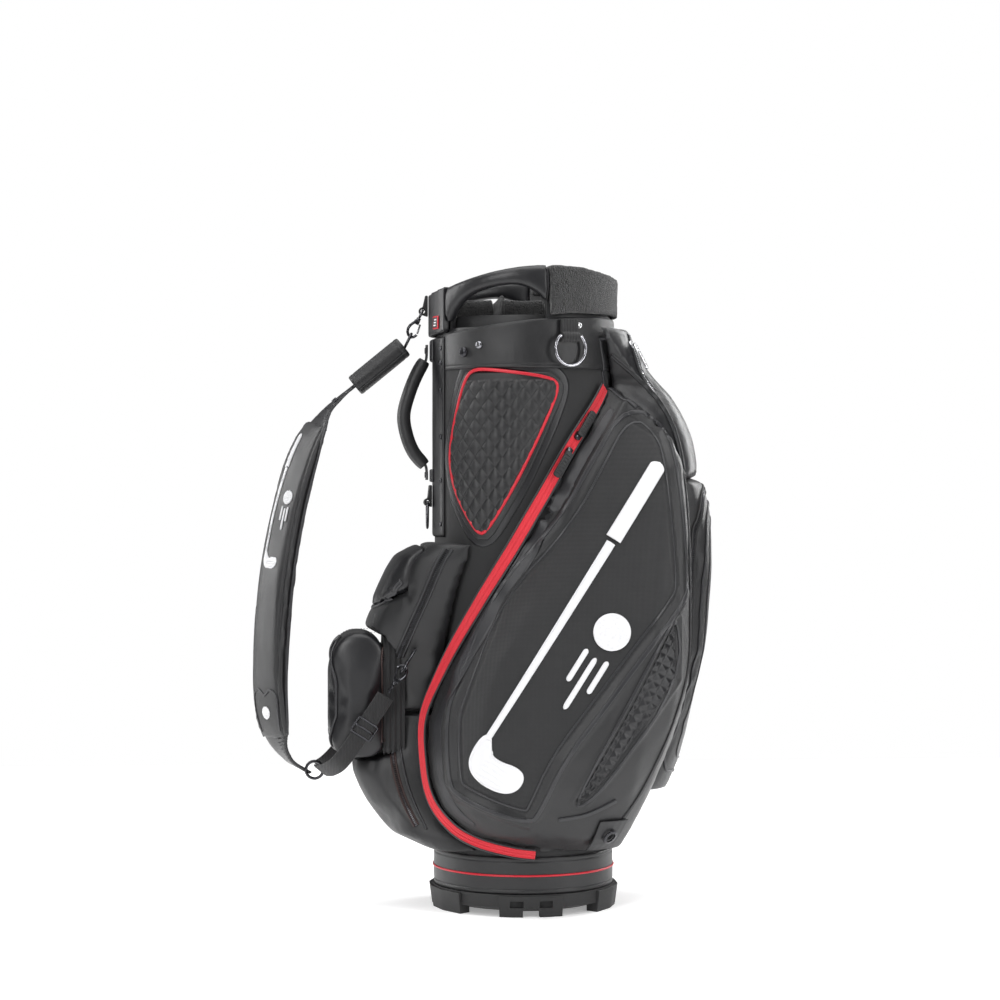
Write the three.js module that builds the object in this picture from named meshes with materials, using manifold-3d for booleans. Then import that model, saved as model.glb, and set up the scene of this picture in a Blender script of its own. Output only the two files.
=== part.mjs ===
// Golf staff bag, millimetres, +Z up. The origin is the centre of the base's underside. The carrying
// strap hangs on the -X side, the two large apparel pockets are on the -Y (near) and +Y (far) sides.
import * as THREE from 'three';
import { mergeVertices } from 'three/addons/utils/BufferGeometryUtils.js';
import Module from 'manifold-3d';

const wasm = await Module();
wasm.setup();

// ---------------------------------------------------------------- driving dimensions
const GAP = 0.4;                    // clearance between pieces that touch
const TUBE_R = 124;                 // outside of the body tube
const TUBE_WALL = 5;
const SKIN_R = TUBE_R + GAP;        // inside of everything sewn onto the tube
const BAND_R = 125;
const BAND_LOW = 31;
const BAND_HIGH = 81;
const BAND_WALL = 3.7;
const PIPING_Z = 56;
const CUP_R = 127;
const CUP_LOW = 13;                 // underside of the cup between its feet
const FLOOR_TOP = 15;
const COLLAR_LOW = 741;
const TUBE_TOP = 785;
const CUFF_R = 133;
const RIM_MEAN = 869.75;            // the rim is high at the near and far sides and low at the strap
const RIM_SIDE = 10.5;
const RIM_SADDLE = 10.25;
const CUFF_LOW = 806;               // mean height of the cuff's lower edge
const CUFF_SIDE = 13;
const CUFF_SADDLE = 3;
const HANDLE_FROM = -60;            // lift handle, degrees from -Y towards +X
const HANDLE_TO = 10;
const SEAM_ANGLE = 66;              // where the apparel pockets meet the +X pockets
const SPINE_HALF = 25;              // half of the spine panel's arc, degrees
const DEG = Math.PI / 180;

// ---------------------------------------------------------------- materials
const finish = (color, roughness, metalness = 0) => () =>
  new THREE.MeshStandardMaterial({ color, roughness, metalness });
const leather = finish(0x17171a, 0.45);
const fabric = finish(0x1b1b1e, 0.85);
const fleece = finish(0x101012, 1.0);
const plastic = finish(0x131315, 0.5);
const red = finish(0xd0243a, 0.6);
const steel = finish(0x55565c, 0.3, 1);
const blackMetal = finish(0x222226, 0.35, 1);
const darkRubber = finish(0x151516, 0.75);

const bag = new THREE.Group();

function add(name, geometry, material) {
  const mesh = new THREE.Mesh(geometry, material());
  mesh.name = name;
  bag.add(mesh);
  return mesh;
}

// ---------------------------------------------------------------- solids, cuts and joins
const MERGE = 1e-4;                 // corners closer than this are one corner

function stripped(geometry) {
  const bare = geometry.clone();
  bare.deleteAttribute('normal');
  bare.deleteAttribute('uv');
  return bare;
}

function toSolid(geometry) {
  const merged = mergeVertices(stripped(geometry), MERGE);
  const corners = [];
  const index = merged.index.array;
  for (let i = 0; i < index.length; i += 3) {
    const [a, b, c] = [index[i], index[i + 1], index[i + 2]];
    if (a !== b && b !== c && c !== a) corners.push(a, b, c);
  }
  return new wasm.Manifold(new wasm.Mesh({
    numProp: 3,
    vertProperties: new Float32Array(merged.attributes.position.array),
    triVerts: new Uint32Array(corners),
  }));
}

function toGeometry(solid) {
  const mesh = solid.getMesh();
  const geometry = new THREE.BufferGeometry();
  geometry.setAttribute('position', new THREE.BufferAttribute(new Float32Array(mesh.vertProperties), 3));
  geometry.setIndex(new THREE.BufferAttribute(new Uint32Array(mesh.triVerts), 1));
  geometry.computeVertexNormals();
  return geometry;
}

function join(...geometries) {
  return toGeometry(geometries.map(toSolid).reduce((sum, next) => sum.add(next)));
}

function cut(geometry, ...cutters) {
  return toGeometry(cutters.map(toSolid).reduce((rest, next) => rest.subtract(next), toSolid(geometry)));
}

// The biggest of the bodies that a cut leaves.
function largest(geometry) {
  const bodies = toSolid(geometry).decompose();
  return toGeometry(bodies.reduce((best, next) => (next.volume() > best.volume() ? next : best)));
}

function common(a, b) {
  return toGeometry(toSolid(a).intersect(toSolid(b)));
}

// ---------------------------------------------------------------- shape helpers
const vec = (x, y, z) => new THREE.Vector3(x, y, z);

// Angles are counted from -Y towards +X, so the near side is 0 and the strap side is -90 degrees.
const polar = (degrees, radius, z) =>
  vec(radius * Math.sin(degrees * DEG), -radius * Math.cos(degrees * DEG), z);

const mirrorY = (geometry) => flip(geometry.clone().scale(1, -1, 1));

function flip(geometry) {
  const index = geometry.index.array;
  for (let i = 0; i < index.length; i += 3) {
    [index[i + 1], index[i + 2]] = [index[i + 2], index[i + 1]];
  }
  geometry.computeVertexNormals();
  return geometry;
}

function mix(a, b, t) {
  return a + (b - a) * t;
}

// Smooth curve through [position, value] pairs.
function through(pairs) {
  return (at) => {
    const last = pairs.length - 1;
    if (at <= pairs[0][0]) return pairs[0][1];
    if (at >= pairs[last][0]) return pairs[last][1];
    const i = pairs.findIndex((pair) => pair[0] > at) - 1;
    const slope = (k) => {
      const [low, high] = [Math.max(k - 1, 0), Math.min(k + 1, last)];
      return (pairs[high][1] - pairs[low][1]) / (pairs[high][0] - pairs[low][0]);
    };
    const span = pairs[i + 1][0] - pairs[i][0];
    const t = (at - pairs[i][0]) / span;
    const [t2, t3] = [t * t, t * t * t];
    return (2 * t3 - 3 * t2 + 1) * pairs[i][1] + (t3 - 2 * t2 + t) * span * slope(i)
      + (3 * t2 - 2 * t3) * pairs[i + 1][1] + (t3 - t2) * span * slope(i + 1);
  };
}

// A closed block whose unit cube is bent by a function of (u, v, w), each from 0 to 1.
function bentBlock(nu, nv, nw, place) {
  const geometry = new THREE.BoxGeometry(1, 1, 1, nu, nv, nw);
  const position = geometry.attributes.position;
  for (let i = 0; i < position.count; i += 1) {
    const p = place(position.getX(i) + 0.5, position.getY(i) + 0.5, position.getZ(i) + 0.5);
    position.setXYZ(i, p.x, p.y, p.z);
  }
  return toGeometry(outward(geometry));
}

function outward(geometry) {
  const merged = mergeVertices(stripped(geometry), MERGE);
  if (signedVolume(merged) < 0) flip(merged);
  return toSolid(merged);
}

function signedVolume(geometry) {
  const index = geometry.index.array;
  const at = (k) => new THREE.Vector3().fromBufferAttribute(geometry.attributes.position, k);
  let sum = 0;
  for (let i = 0; i < index.length; i += 3) {
    sum += at(index[i]).dot(at(index[i + 1]).cross(at(index[i + 2])));
  }
  return sum / 6;
}

// A solid of revolution about Z from [radius, height] points.
function turned(profile, segments = 48) {
  const points = profile.map(([radius, height]) => new THREE.Vector2(radius, height));
  const geometry = new THREE.LatheGeometry(points, segments).rotateX(Math.PI / 2);
  return toGeometry(outward(geometry));
}

// A three.js solid, merged and turned outwards.
const outwardGeometry = (geometry) => toGeometry(outward(geometry));

function ringProfile(inner, outer, low, high) {
  return [[inner, low], [outer, low], [outer, high], [inner, high], [inner, low]];
}

// A wall that follows the tube from one angle to another, between two radii.
function arcWall(from, to, inner, outer, low, high, steps = 12) {
  return bentBlock(steps, 1, 1, (u, v, w) => {
    const angle = mix(from, to, u);
    return polar(angle, mix(inner, outer, w), mix(low(angle), high(angle), v));
  });
}

// A round bar along a smooth curve.
function bar(points, radius, steps, sides = 8) {
  const circle = new THREE.Shape().absarc(0, 0, radius, 0, 2 * Math.PI);
  const geometry = new THREE.ExtrudeGeometry(circle, {
    steps, curveSegments: sides, bevelEnabled: false, extrudePath: new THREE.CatmullRomCurve3(points),
  });
  return toGeometry(outward(geometry));
}

// A flat strip along a smooth curve; side(t) is the direction of its width.
function strip(points, steps, width, thickness, side, round = 0) {
  const curve = new THREE.CatmullRomCurve3(points);
  const across = round ? 4 : 1;
  return bentBlock(steps, across, 1, (u, v, w) => {
    const at = curve.getPointAt(u);
    const along = curve.getTangentAt(u);
    const wide = side(u).clone().addScaledVector(along, -side(u).dot(along)).normalize();
    const up = along.clone().cross(wide);
    const offset = 2 * v - 1;
    const crown = 1 - round * offset * offset;
    return at.addScaledVector(wide, offset * width(u) / 2)
      .addScaledVector(up, (w - 0.5) * thickness(u) * crown);
  });
}

const block = (x0, x1, y0, y1, z0, z1) =>
  new THREE.BoxGeometry(x1 - x0, y1 - y0, z1 - z0)
    .translate((x0 + x1) / 2, (y0 + y1) / 2, (z0 + z1) / 2);

// A geometry built about its own Z axis, laid so that Z points along a direction.
function aimed(geometry, direction, centre) {
  const turn = new THREE.Quaternion().setFromUnitVectors(vec(0, 0, 1), direction.clone().normalize());
  return geometry.clone().applyQuaternion(turn).translate(centre.x, centre.y, centre.z);
}

// ---------------------------------------------------------------- base
const rimAt = (angle) =>
  RIM_MEAN + RIM_SIDE * Math.sin(angle * DEG) + RIM_SADDLE * Math.cos(2 * angle * DEG);
const cuffLowAt = (angle) =>
  CUFF_LOW + CUFF_SIDE * Math.sin(angle * DEG) + CUFF_SADDLE * Math.cos(2 * angle * DEG);
const level = (height) => () => height;

const CUP_UNDER = 6;                // underside of the cup's middle
const CUP_FLOOR_R = 104;
const CUP_BORE = 112;
const SHELF = BAND_LOW + 14;        // the step that the tube stands on
const PAD_R = 34;                   // flat pad in the middle, which touches the ground
const PAD_HIGH = 10;
const FOOT_IN = 110;
const FEET = [
  { middle: 90, half: 43, flare: 132 },
  { middle: -90, half: 43, flare: 132 },
  { middle: 0, half: 20, flare: 129 },
  { middle: 180, half: 20, flare: 129 },
];
const WINDOW = { x: 20, half: 9, low: 13, high: 22 };
const NOTCH_HALF = 11.5;
const OUT = 140;                    // beyond the cup's outside

// A lug under the cup's rim, flared outwards at its top.
function makeFoot({ middle, half, flare }) {
  return bentBlock(5, 1, 1, (u, v, w) => {
    const outer = mix(flare - 4, flare, v);
    return polar(middle + mix(-half, half, u), mix(FOOT_IN, outer, w), mix(0, BAND_LOW - 2, v));
  });
}

function makeBaseCup() {
  const cup = turned([[0, CUP_UNDER], [PAD_R - 4, CUP_UNDER], [CUP_FLOOR_R, CUP_UNDER], [CUP_R, CUP_LOW],
    [CUP_R, BAND_LOW - GAP], [BAND_R - BAND_WALL - 0.7, BAND_LOW - GAP], [CUP_BORE + 5, SHELF],
    [CUP_BORE, SHELF], [CUP_BORE, FLOOR_TOP], [0, FLOOR_TOP]], 32);
  const pad = new THREE.CylinderGeometry(PAD_R, PAD_R, PAD_HIGH, 32)
    .rotateX(Math.PI / 2).translate(0, 0, PAD_HIGH / 2);
  const openings = [];
  for (const side of [-1, 1]) {
    for (const x of [-WINDOW.x, WINDOW.x]) {
      openings.push(block(x - WINDOW.half, x + WINDOW.half, side * OUT, side * (CUP_R - 8),
        WINDOW.low, WINDOW.high));
    }
    openings.push(block(-NOTCH_HALF, NOTCH_HALF, side * OUT, side * 100, -1, 9));
    openings.push(block(side * 100, side * OUT, -NOTCH_HALF, NOTCH_HALF, -1, 9));
  }
  return cut(join(cup, pad, ...FEET.map(makeFoot)), ...openings.map(outwardGeometry));
}

add('base_cup', makeBaseCup(), darkRubber);
add('base_band', turned([
  [BAND_R - BAND_WALL, BAND_LOW], [BAND_R, BAND_LOW], [BAND_R, PIPING_Z - 2.2], [BAND_R - 2, PIPING_Z - 1.5],
  [BAND_R - 2, PIPING_Z + 1.5], [BAND_R, PIPING_Z + 2.2], [BAND_R, BAND_HIGH],
  [BAND_R - BAND_WALL, BAND_HIGH], [BAND_R - BAND_WALL, BAND_LOW]], 36), leather);
add('base_piping', new THREE.TorusGeometry(BAND_R + 0.2, 1.4, 5, 40).translate(0, 0, PIPING_Z), red);

// ---------------------------------------------------------------- body tube and what stands inside it
const TUBE_FOOT_R = BAND_R - BAND_WALL - 3 * GAP;
const TUBE_LOW = SHELF + 1;
add('body_tube', turned([
  [TUBE_R - TUBE_WALL, TUBE_LOW], [TUBE_FOOT_R, TUBE_LOW], [TUBE_FOOT_R, BAND_HIGH + GAP],
  [TUBE_R, BAND_HIGH + GAP], [TUBE_R, TUBE_TOP], [TUBE_R - TUBE_WALL, TUBE_TOP],
  [TUBE_R - TUBE_WALL, TUBE_LOW]]), fabric);

const STAY = { r: 3.2, y: 114.6, low: SHELF + GAP };
for (const [name, side] of [['stay_near', -1], ['stay_far', 1]]) {
  add(name, new THREE.CylinderGeometry(STAY.r, STAY.r, TUBE_TOP - STAY.low, 12)
    .rotateX(Math.PI / 2).translate(0, side * STAY.y, (TUBE_TOP + STAY.low) / 2), steel);
}

// ---------------------------------------------------------------- collar, cuff and lift handles
const FRAME_IN = 111.5;
const FRAME_OUT = 121.6;
const COLLAR_TOP = TUBE_TOP + GAP;
const FRAME_RING_TOP = 798;         // top of the frame's ring, under the lift handles
const CUFF_ROOF = 9;                // thickness of the cuff over the frame

const collarWall = (from, to, steps, top) =>
  arcWall(from, to, FRAME_IN + 0.8, FRAME_OUT - 0.4, level(COLLAR_TOP + 3), top, steps);

// The collar frame is one ring: low under each lift handle, and up to the rim everywhere else.
function makeCollarFrame() {
  const frameTop = (angle) => rimAt(angle) - CUFF_ROOF;
  const ring = turned(ringProfile(FRAME_IN, FRAME_OUT, COLLAR_TOP, FRAME_RING_TOP));
  const right = collarWall(HANDLE_TO, 180 - HANDLE_TO, 20, frameTop);
  const left = collarWall(HANDLE_FROM - 60, HANDLE_FROM, 8, frameTop);
  return join(ring, right, left);
}
add('collar_frame', makeCollarFrame(), plastic);

// The grip above the opening: a fat rounded bar that follows the rim.
function makeLiftHandle() {
  const middle = (HANDLE_FROM + HANDLE_TO) / 2;
  const half = (HANDLE_TO - HANDLE_FROM) / 2 - 0.3;
  return bentBlock(12, 4, 3, (u, v, w) => {
    const angle = middle + (2 * u - 1) * half;
    const top = rimAt(angle);
    const depth = 22 + 30 * Math.abs(2 * u - 1) ** 3;
    const [x, y] = [2 * w - 1, 2 * v - 1];
    const [roundX, roundY] = [x * Math.sqrt(1 - y * y / 2.6), y * Math.sqrt(1 - x * x / 2.6)];
    return polar(angle, 122.5 + 10.5 * roundX, top - depth / 2 * (1 - roundY));
  });
}
const liftHandle = makeLiftHandle();
add('lift_handle_near', liftHandle, leather);
add('lift_handle_far', mirrorY(liftHandle), leather);

// The cuff is a padded channel over the frame's top edge.
function cuffWall(from, to, steps) {
  const outer = arcWall(from, to, 106, CUFF_R, cuffLowAt, rimAt, steps);
  const slot = bentBlock(steps, 1, 1, (u, v, w) => {
    const angle = mix(from - 1, to + 1, u);
    const top = rimAt(angle) - 8.5;
    return polar(angle, mix(FRAME_IN - 0.5, FRAME_OUT + 0.5, w), mix(TUBE_TOP - 20, top, v));
  });
  const inside = bentBlock(steps, 1, 1, (u, v, w) => {
    const angle = mix(from - 1, to + 1, u);
    return polar(angle, mix(100, FRAME_IN, w), mix(TUBE_TOP - 20, rimAt(angle) - 26, v));
  });
  return cut(outer, slot, inside);
}
add('cuff_fleece', cuffWall(HANDLE_TO + 0.3, 179.7 - HANDLE_TO, 20), fleece);
add('collar_cap', cuffWall(HANDLE_FROM - 59.7, HANDLE_FROM - 0.3, 10), leather);

const BAND_RISE = 12;               // the collar band is that much taller on the +X side
const COLLAR_WALL = 2.8;
const SPINE_LOW = 512;
const SPINE_HIGH = 788;
const bandTop = (angle) => Math.min(cuffLowAt(angle) - 1,
  FRAME_RING_TOP - 1 + BAND_RISE * Math.max(0, Math.sin(angle * DEG)));
add('collar_band', arcWall(-90 + SPINE_HALF + 0.5, 270 - SPINE_HALF - 0.5, SKIN_R, SKIN_R + COLLAR_WALL,
  level(COLLAR_LOW), bandTop, 56), leather);
add('spine_panel', arcWall(-90 - SPINE_HALF, -90 + SPINE_HALF, SKIN_R, SKIN_R + COLLAR_WALL,
  level(SPINE_LOW), level(SPINE_HIGH), 10), leather);

// ---------------------------------------------------------------- dividers: six wells
const WALL_X = 36;
function dividerLattice(radius, thickness, low, high) {
  const disc = new THREE.CylinderGeometry(radius, radius, high - low, 48)
    .rotateX(Math.PI / 2).translate(0, 0, (high + low) / 2);
  const half = thickness / 2;
  const bars = [block(-radius, radius, -half, half, low, high)];
  for (const x of [-WALL_X, WALL_X]) bars.push(block(x - half, x + half, -radius, radius, low, high));
  return common(disc, join(...bars.map(outwardGeometry)));
}
const GRID_LOW = 790;
const GRID_HIGH = 814;
add('divider_grid', join(turned(ringProfile(99, FRAME_IN - GAP, GRID_LOW, GRID_HIGH), 40),
  dividerLattice(102, 9, GRID_LOW, GRID_HIGH)), fleece);
add('divider_walls', dividerLattice(107, 2, FLOOR_TOP + 1, GRID_LOW - GAP), fabric);

// ---------------------------------------------------------------- apparel pockets
const POCKET_LOW = 84;
const POCKET_HIGH = 722;
// Centre line of the pocket's edge where its zip lies: angle and radius by height.
const zipAngle = through([[84, 5], [89, -10], [102, -30], [121, -44], [158, -56], [213, -60], [270, -61],
  [330, -54], [425, -31], [496, -12], [560, 4.3], [645, 27.2], [718, 53.8], [730, 58]]);
const zipRadius = through([[84, 128], [89, 133], [102, 144], [121, 152], [158, 160], [213, 165],
  [270, 162], [330, 146], [425, 134], [496, 130], [718, 128.5]]);
const seamX = through([[84, 126], [106, 138], [174, 172], [250, 203], [320, 222], [400, 228], [483, 228],
  [590, 224], [650, 212], [694, 193], [722, 172]]);
const frontY = through([[84, 127], [106, 150], [160, 175], [220, 186], [300, 188], [400, 182], [500, 172],
  [600, 158], [680, 144], [722, 136]]);

// Radius of the pocket set's outer skin, a rounded box in plan about a centre beside the tube's axis.
function envelopeRadius(angle, z) {
  const left = 143;
  const right = seamX(z) * 1.05;
  const [centre, half, deep] = [(right - left) / 2, (right + left) / 2, frontY(z)];
  let [low, high] = [90, 320];
  for (let i = 0; i < 24; i += 1) {
    const radius = (low + high) / 2;
    const p = polar(angle, radius, z);
    const inside = Math.abs((p.x - centre) / half) ** 3 + Math.abs(p.y / deep) ** 3 < 1;
    if (inside) low = radius;
    else high = radius;
  }
  return low;
}

const POCKET_SHOULDER = 95;         // length of the pocket's rise from its zip

function pocketRadius(angle, z) {
  const from = zipAngle(z);
  const arc = (angle - from) * DEG * zipRadius(z);
  const rise = Math.min(1, Math.max(0, arc / POCKET_SHOULDER));
  const swell = rise * rise * (3 - 2 * rise);
  return mix(zipRadius(z), Math.max(envelopeRadius(angle, z), zipRadius(z)), swell);
}

const ZIP_WIDE = 15;
const ZIP_THICK = 2.4;
const ZIP_LEDGE = 3.2;              // the pocket's edge lies that much lower, under the zip

function makeApparelPocket() {
  return bentBlock(10, 14, 1, (u, v, w) => {
    const z = mix(POCKET_LOW, POCKET_HIGH, v ** 1.25);
    const angle = mix(zipAngle(z), SEAM_ANGLE, u);
    const skin = pocketRadius(angle, z) - ZIP_LEDGE * (1 - Math.min(1, u * 4));
    return polar(angle, mix(SKIN_R + 3, skin, w), z);
  });
}

const ZIP_SINK = 0.4;               // the tape lies that deep in the leather
const ZIP_HEIGHTS = [86, 93, 106, 124, 145, 170, 205, 240, 275, 310, 350, 400, 450, 500, 550, 600, 650,
  700, 716];
const zipPoint = (z) => polar(zipAngle(z), zipRadius(z) + ZIP_THICK / 2 - ZIP_SINK, z);

function zipStrip(grow) {
  const points = ZIP_HEIGHTS.map(zipPoint);
  const curve = new THREE.CatmullRomCurve3(points);
  const outwardAt = (u) => {
    const p = curve.getPointAt(u);
    return vec(p.x, p.y, 0).normalize();
  };
  const side = (u) => curve.getTangentAt(u).clone().cross(outwardAt(u)).normalize();
  return strip(points, 30, () => ZIP_WIDE + 2 * grow, () => ZIP_THICK + 2 * grow, side);
}

const zipNear = zipStrip(0);
const zipRoom = zipStrip(1);
const tubeRoom = turned([[0, 70], [SKIN_R + 1.4, 70], [SKIN_R + 1.4, 740], [0, 740], [0, 70]], 36);
const apparelPocket = largest(cut(makeApparelPocket(), zipRoom, tubeRoom));
add('apparel_pocket_near', apparelPocket, leather);
add('apparel_pocket_far', mirrorY(apparelPocket), leather);
add('zip_near', zipNear, red);
add('zip_far', mirrorY(zipNear), red);

// ---------------------------------------------------------------- pockets on the +X side
const SIDE_FROM = SEAM_ANGLE + 0.35;
const mainX = through([[160, 198], [200, 213], [277, 231], [367, 251], [475, 260], [529, 260], [570, 256],
  [592, 248]]);
const upperX = through([[598, 243], [637, 237], [669, 225], [705, 205], [731, 182], [757, 163], [797, 143]]);

// A pocket between the two seams: its skin bulges from the seam corners to outerX in the middle.
function sidePocket(low, high, rows, outerX, from, cornerX) {
  return bentBlock(10, rows, 1, (u, v, w) => {
    const z = mix(low, high, v);
    const start = from(z);
    const angle = mix(start, 180 - start, u);
    const t = 2 * u - 1;
    const corner = Math.min(cornerX(z), outerX(z) - 2);
    const y = t * corner / Math.tan(start * DEG);
    const x = corner + (outerX(z) - corner) * (1 - Math.abs(t) ** 2.6);
    const inner = polar(angle, SKIN_R + (z > COLLAR_LOW - 20 ? 5 : 1.5), z);
    return inner.lerp(vec(x, y, z), w);
  });
}
add('pocket_side_main', sidePocket(160, 592, 11, mainX, level(SIDE_FROM), (z) => seamX(z) - 6), leather);
const upperFrom = through([[598, SIDE_FROM], [724, SIDE_FROM], [740, 63], [770, 54], [800, 45]]);
const upperCorner = through([[592, 218], [650, 206], [694, 188], [722, 166], [740, 147], [770, 118],
  [800, 95]]);
add('pocket_side_upper', sidePocket(592.6, 801, 11, upperX, upperFrom, upperCorner), leather);

// ---------------------------------------------------------------- pockets on the strap side
// Half of each pocket's width, in degrees about -X.
const lowerHalf = through([[83, 58], [102, 52], [121, 41], [158, 29.5], [213, 25.5], [271, 24.5]]);
const lowerX = through([[83, 130], [90, 158], [100, 180], [124, 199], [147, 221], [182, 238], [205, 241],
  [240, 238], [271, 231]]);
const bottleHalf = through([[271, 24.5], [300, 26], [337, 29], [380, 36], [430, 43], [500, 54]]);
const bottleX = through([[271, 222], [310, 226], [350, 229], [379, 227], [425, 210], [467, 191], [488, 178],
  [500, 163], [507, 140]]);

function strapSidePocket(low, high, columns, rows, halfAt, outerX, corner) {
  return bentBlock(columns, rows, 1, (u, v, w) => {
    const z = mix(low, high, v);
    const half = halfAt(z);
    const angle = -90 + (2 * u - 1) * half;
    const inner = polar(angle, SKIN_R + 2, z);
    const deep = (SKIN_R + 5) * Math.sin(half * DEG);
    const start = (SKIN_R + 5) * Math.cos(half * DEG);
    const turn = (2 * u - 1) * Math.PI / 2;
    const [c, s] = [Math.cos(turn), Math.sin(turn)];
    const x = -(start + (outerX(z) - start) * Math.abs(c) ** corner);
    const y = deep * Math.sign(s) * Math.abs(s) ** corner;
    return inner.lerp(vec(x, -y, z), w);
  });
}

// Capsule outline of the ball pocket, seen along Y.
function capsule(x0, x1, z0, z1, radius, half, bevel) {
  const shape = new THREE.Shape();
  const [a, b, c, d] = [x0 + bevel, x1 - bevel, z0 + bevel, z1 - bevel];
  shape.absarc(a + radius, d - radius, radius, Math.PI, Math.PI / 2, true);
  shape.absarc(b - radius, d - radius, radius, Math.PI / 2, 0, true);
  shape.absarc(b - radius * 0.6, c + radius * 0.6, radius * 0.6, 0, -Math.PI / 2, true);
  shape.absarc(a + radius * 0.6, c + radius * 0.6, radius * 0.6, -Math.PI / 2, -Math.PI, true);
  const depth = 2 * (half - bevel);
  const geometry = new THREE.ExtrudeGeometry(shape, {
    depth,
    curveSegments: 4,
    bevelEnabled: bevel > 0,
    bevelThickness: bevel,
    bevelSize: bevel,
    bevelSegments: 2,
  });
  geometry.rotateX(Math.PI / 2).translate(0, half - bevel, 0);
  return toGeometry(outward(geometry));
}

const BALL_HALF = 66;
const ballPocket = capsule(-269, -193, 208, 384, 28, BALL_HALF, 9);
const ballGusset = capsule(-192.6, -181, 214, 378, 5, BALL_HALF - 4, 0);
const ballRoom = join(capsule(-290, -192, 207, 385, 30, BALL_HALF + 1, 0),
  capsule(-200, -180.5, 213.5, 378.5, 5, BALL_HALF - 3.5, 0));
add('ball_pocket', ballPocket, leather);
add('ball_gusset', ballGusset, fabric);

const zipRooms = [zipRoom, mirrorY(zipRoom)];
const lowerPocket = strapSidePocket(POCKET_LOW, 271, 11, 9, lowerHalf, lowerX, 0.62);
add('lower_pocket', cut(lowerPocket, ballRoom, ...zipRooms), leather);

const bottleBody = strapSidePocket(271.6, 507, 11, 11, bottleHalf, bottleX, 0.62);
const bottlePocket = cut(bottleBody, ballRoom, ...zipRooms);
// The hood is the cap over the pocket's top, cut off along a plane that falls outwards.
const HOOD = { half: 80, fall: 28, back: 124, z: 462 };
function hoodBlock(grow) {
  return outwardGeometry(block(-110, 0, -HOOD.half - grow, HOOD.half + grow, -grow, 120)
    .rotateY(-HOOD.fall * DEG).translate(-HOOD.back + grow, 0, HOOD.z));
}
const hood = common(bottlePocket, hoodBlock(0));
add('bottle_pocket', cut(bottlePocket, hoodBlock(GAP)), leather);
add('bottle_hood', hood, leather);

// ---------------------------------------------------------------- quilted panels on the tube
const panelLeft = through([[508, -34], [518, -39], [540, -47], [578, -57], [621, -61.5], [667, -57.5],
  [717, -49], [737, -43]]);
const panelRight = through([[508, -28], [518, -23], [580, -6], [669, 13], [717, 21], [737, 12]]);
const PANEL_LOW = 508;
const PANEL_HIGH = 737;

function makeQuiltedPanel() {
  return bentBlock(9, 9, 1, (u, v, w) => {
    const z = mix(PANEL_LOW, PANEL_HIGH, v);
    const angle = mix(panelLeft(z), panelRight(z), u);
    const edge = Math.min(1, 6 * Math.min(u, 1 - u, v, 1 - v));
    return polar(angle, SKIN_R + 0.8 + w * (3 + 3.5 * edge), z);
  });
}
const quiltedPanel = makeQuiltedPanel();
add('quilted_panel_near', quiltedPanel, fabric);
add('quilted_panel_far', mirrorY(quiltedPanel), fabric);

// ---------------------------------------------------------------- zip sliders and pullers
const SLIDER = { long: 12, wide: 9, high: 4 };
const PULLER = { long: 40, wide: 11, high: 2.6 };

// Axes at a point of the zip: along it (upwards), out of the bag, and across.
function zipFrame(z) {
  const step = 30;
  const at = zipPoint(z);
  const [before, after] = [z - step, z + step].map((h) => polar(zipAngle(h), zipRadius(h), h));
  const along = after.sub(before).normalize();
  const out = vec(at.x, at.y, 0).normalize();
  out.addScaledVector(along, -out.dot(along)).normalize();
  return { at, along, out, across: along.clone().cross(out) };
}

function placed(geometry, frame, lift, shift) {
  const turn = new THREE.Matrix4().makeBasis(frame.across, frame.along, frame.out);
  const middle = frame.at.clone().addScaledVector(frame.out, lift).addScaledVector(frame.along, shift);
  return geometry.clone().applyMatrix4(turn).translate(middle.x, middle.y, middle.z);
}

function roundedPlate(wide, long, high) {
  const shape = new THREE.Shape();
  const [x, y, r] = [wide / 2, long / 2, Math.min(wide, long) * 0.3];
  shape.absarc(-x + r, y - r, r, Math.PI, Math.PI / 2, true);
  shape.absarc(x - r, y - r, r, Math.PI / 2, 0, true);
  shape.absarc(x - r, -y + r, r, 0, -Math.PI / 2, true);
  shape.absarc(-x + r, -y + r, r, -Math.PI / 2, -Math.PI, true);
  const geometry = new THREE.ExtrudeGeometry(shape, { depth: high, curveSegments: 3, bevelEnabled: false });
  return toGeometry(outward(geometry.translate(0, 0, -high / 2)));
}

const SLIDER_LIFT = 3.9;            // slider's middle above the tape's middle, clear of the curved tape
const PULLER_LIFT = 8.2;
const sliderPlate = roundedPlate(SLIDER.wide, SLIDER.long, SLIDER.high);
const pullerPlate = roundedPlate(PULLER.wide, PULLER.long, PULLER.high);
const zipPlaces = { upper: zipFrame(650), lower: zipFrame(628) };
for (const [name, direction] of [['upper', 1], ['lower', -1]]) {
  const frame = zipPlaces[name];
  const puller = direction > 0 ? pullerPlate : pullerPlate.clone().rotateZ(Math.PI);
  add(`slider_near_${name}`, placed(sliderPlate, frame, SLIDER_LIFT, 0), blackMetal);
  add(`puller_near_${name}`, placed(puller, frame, PULLER_LIFT, direction * 20), darkRubber);
}

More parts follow.
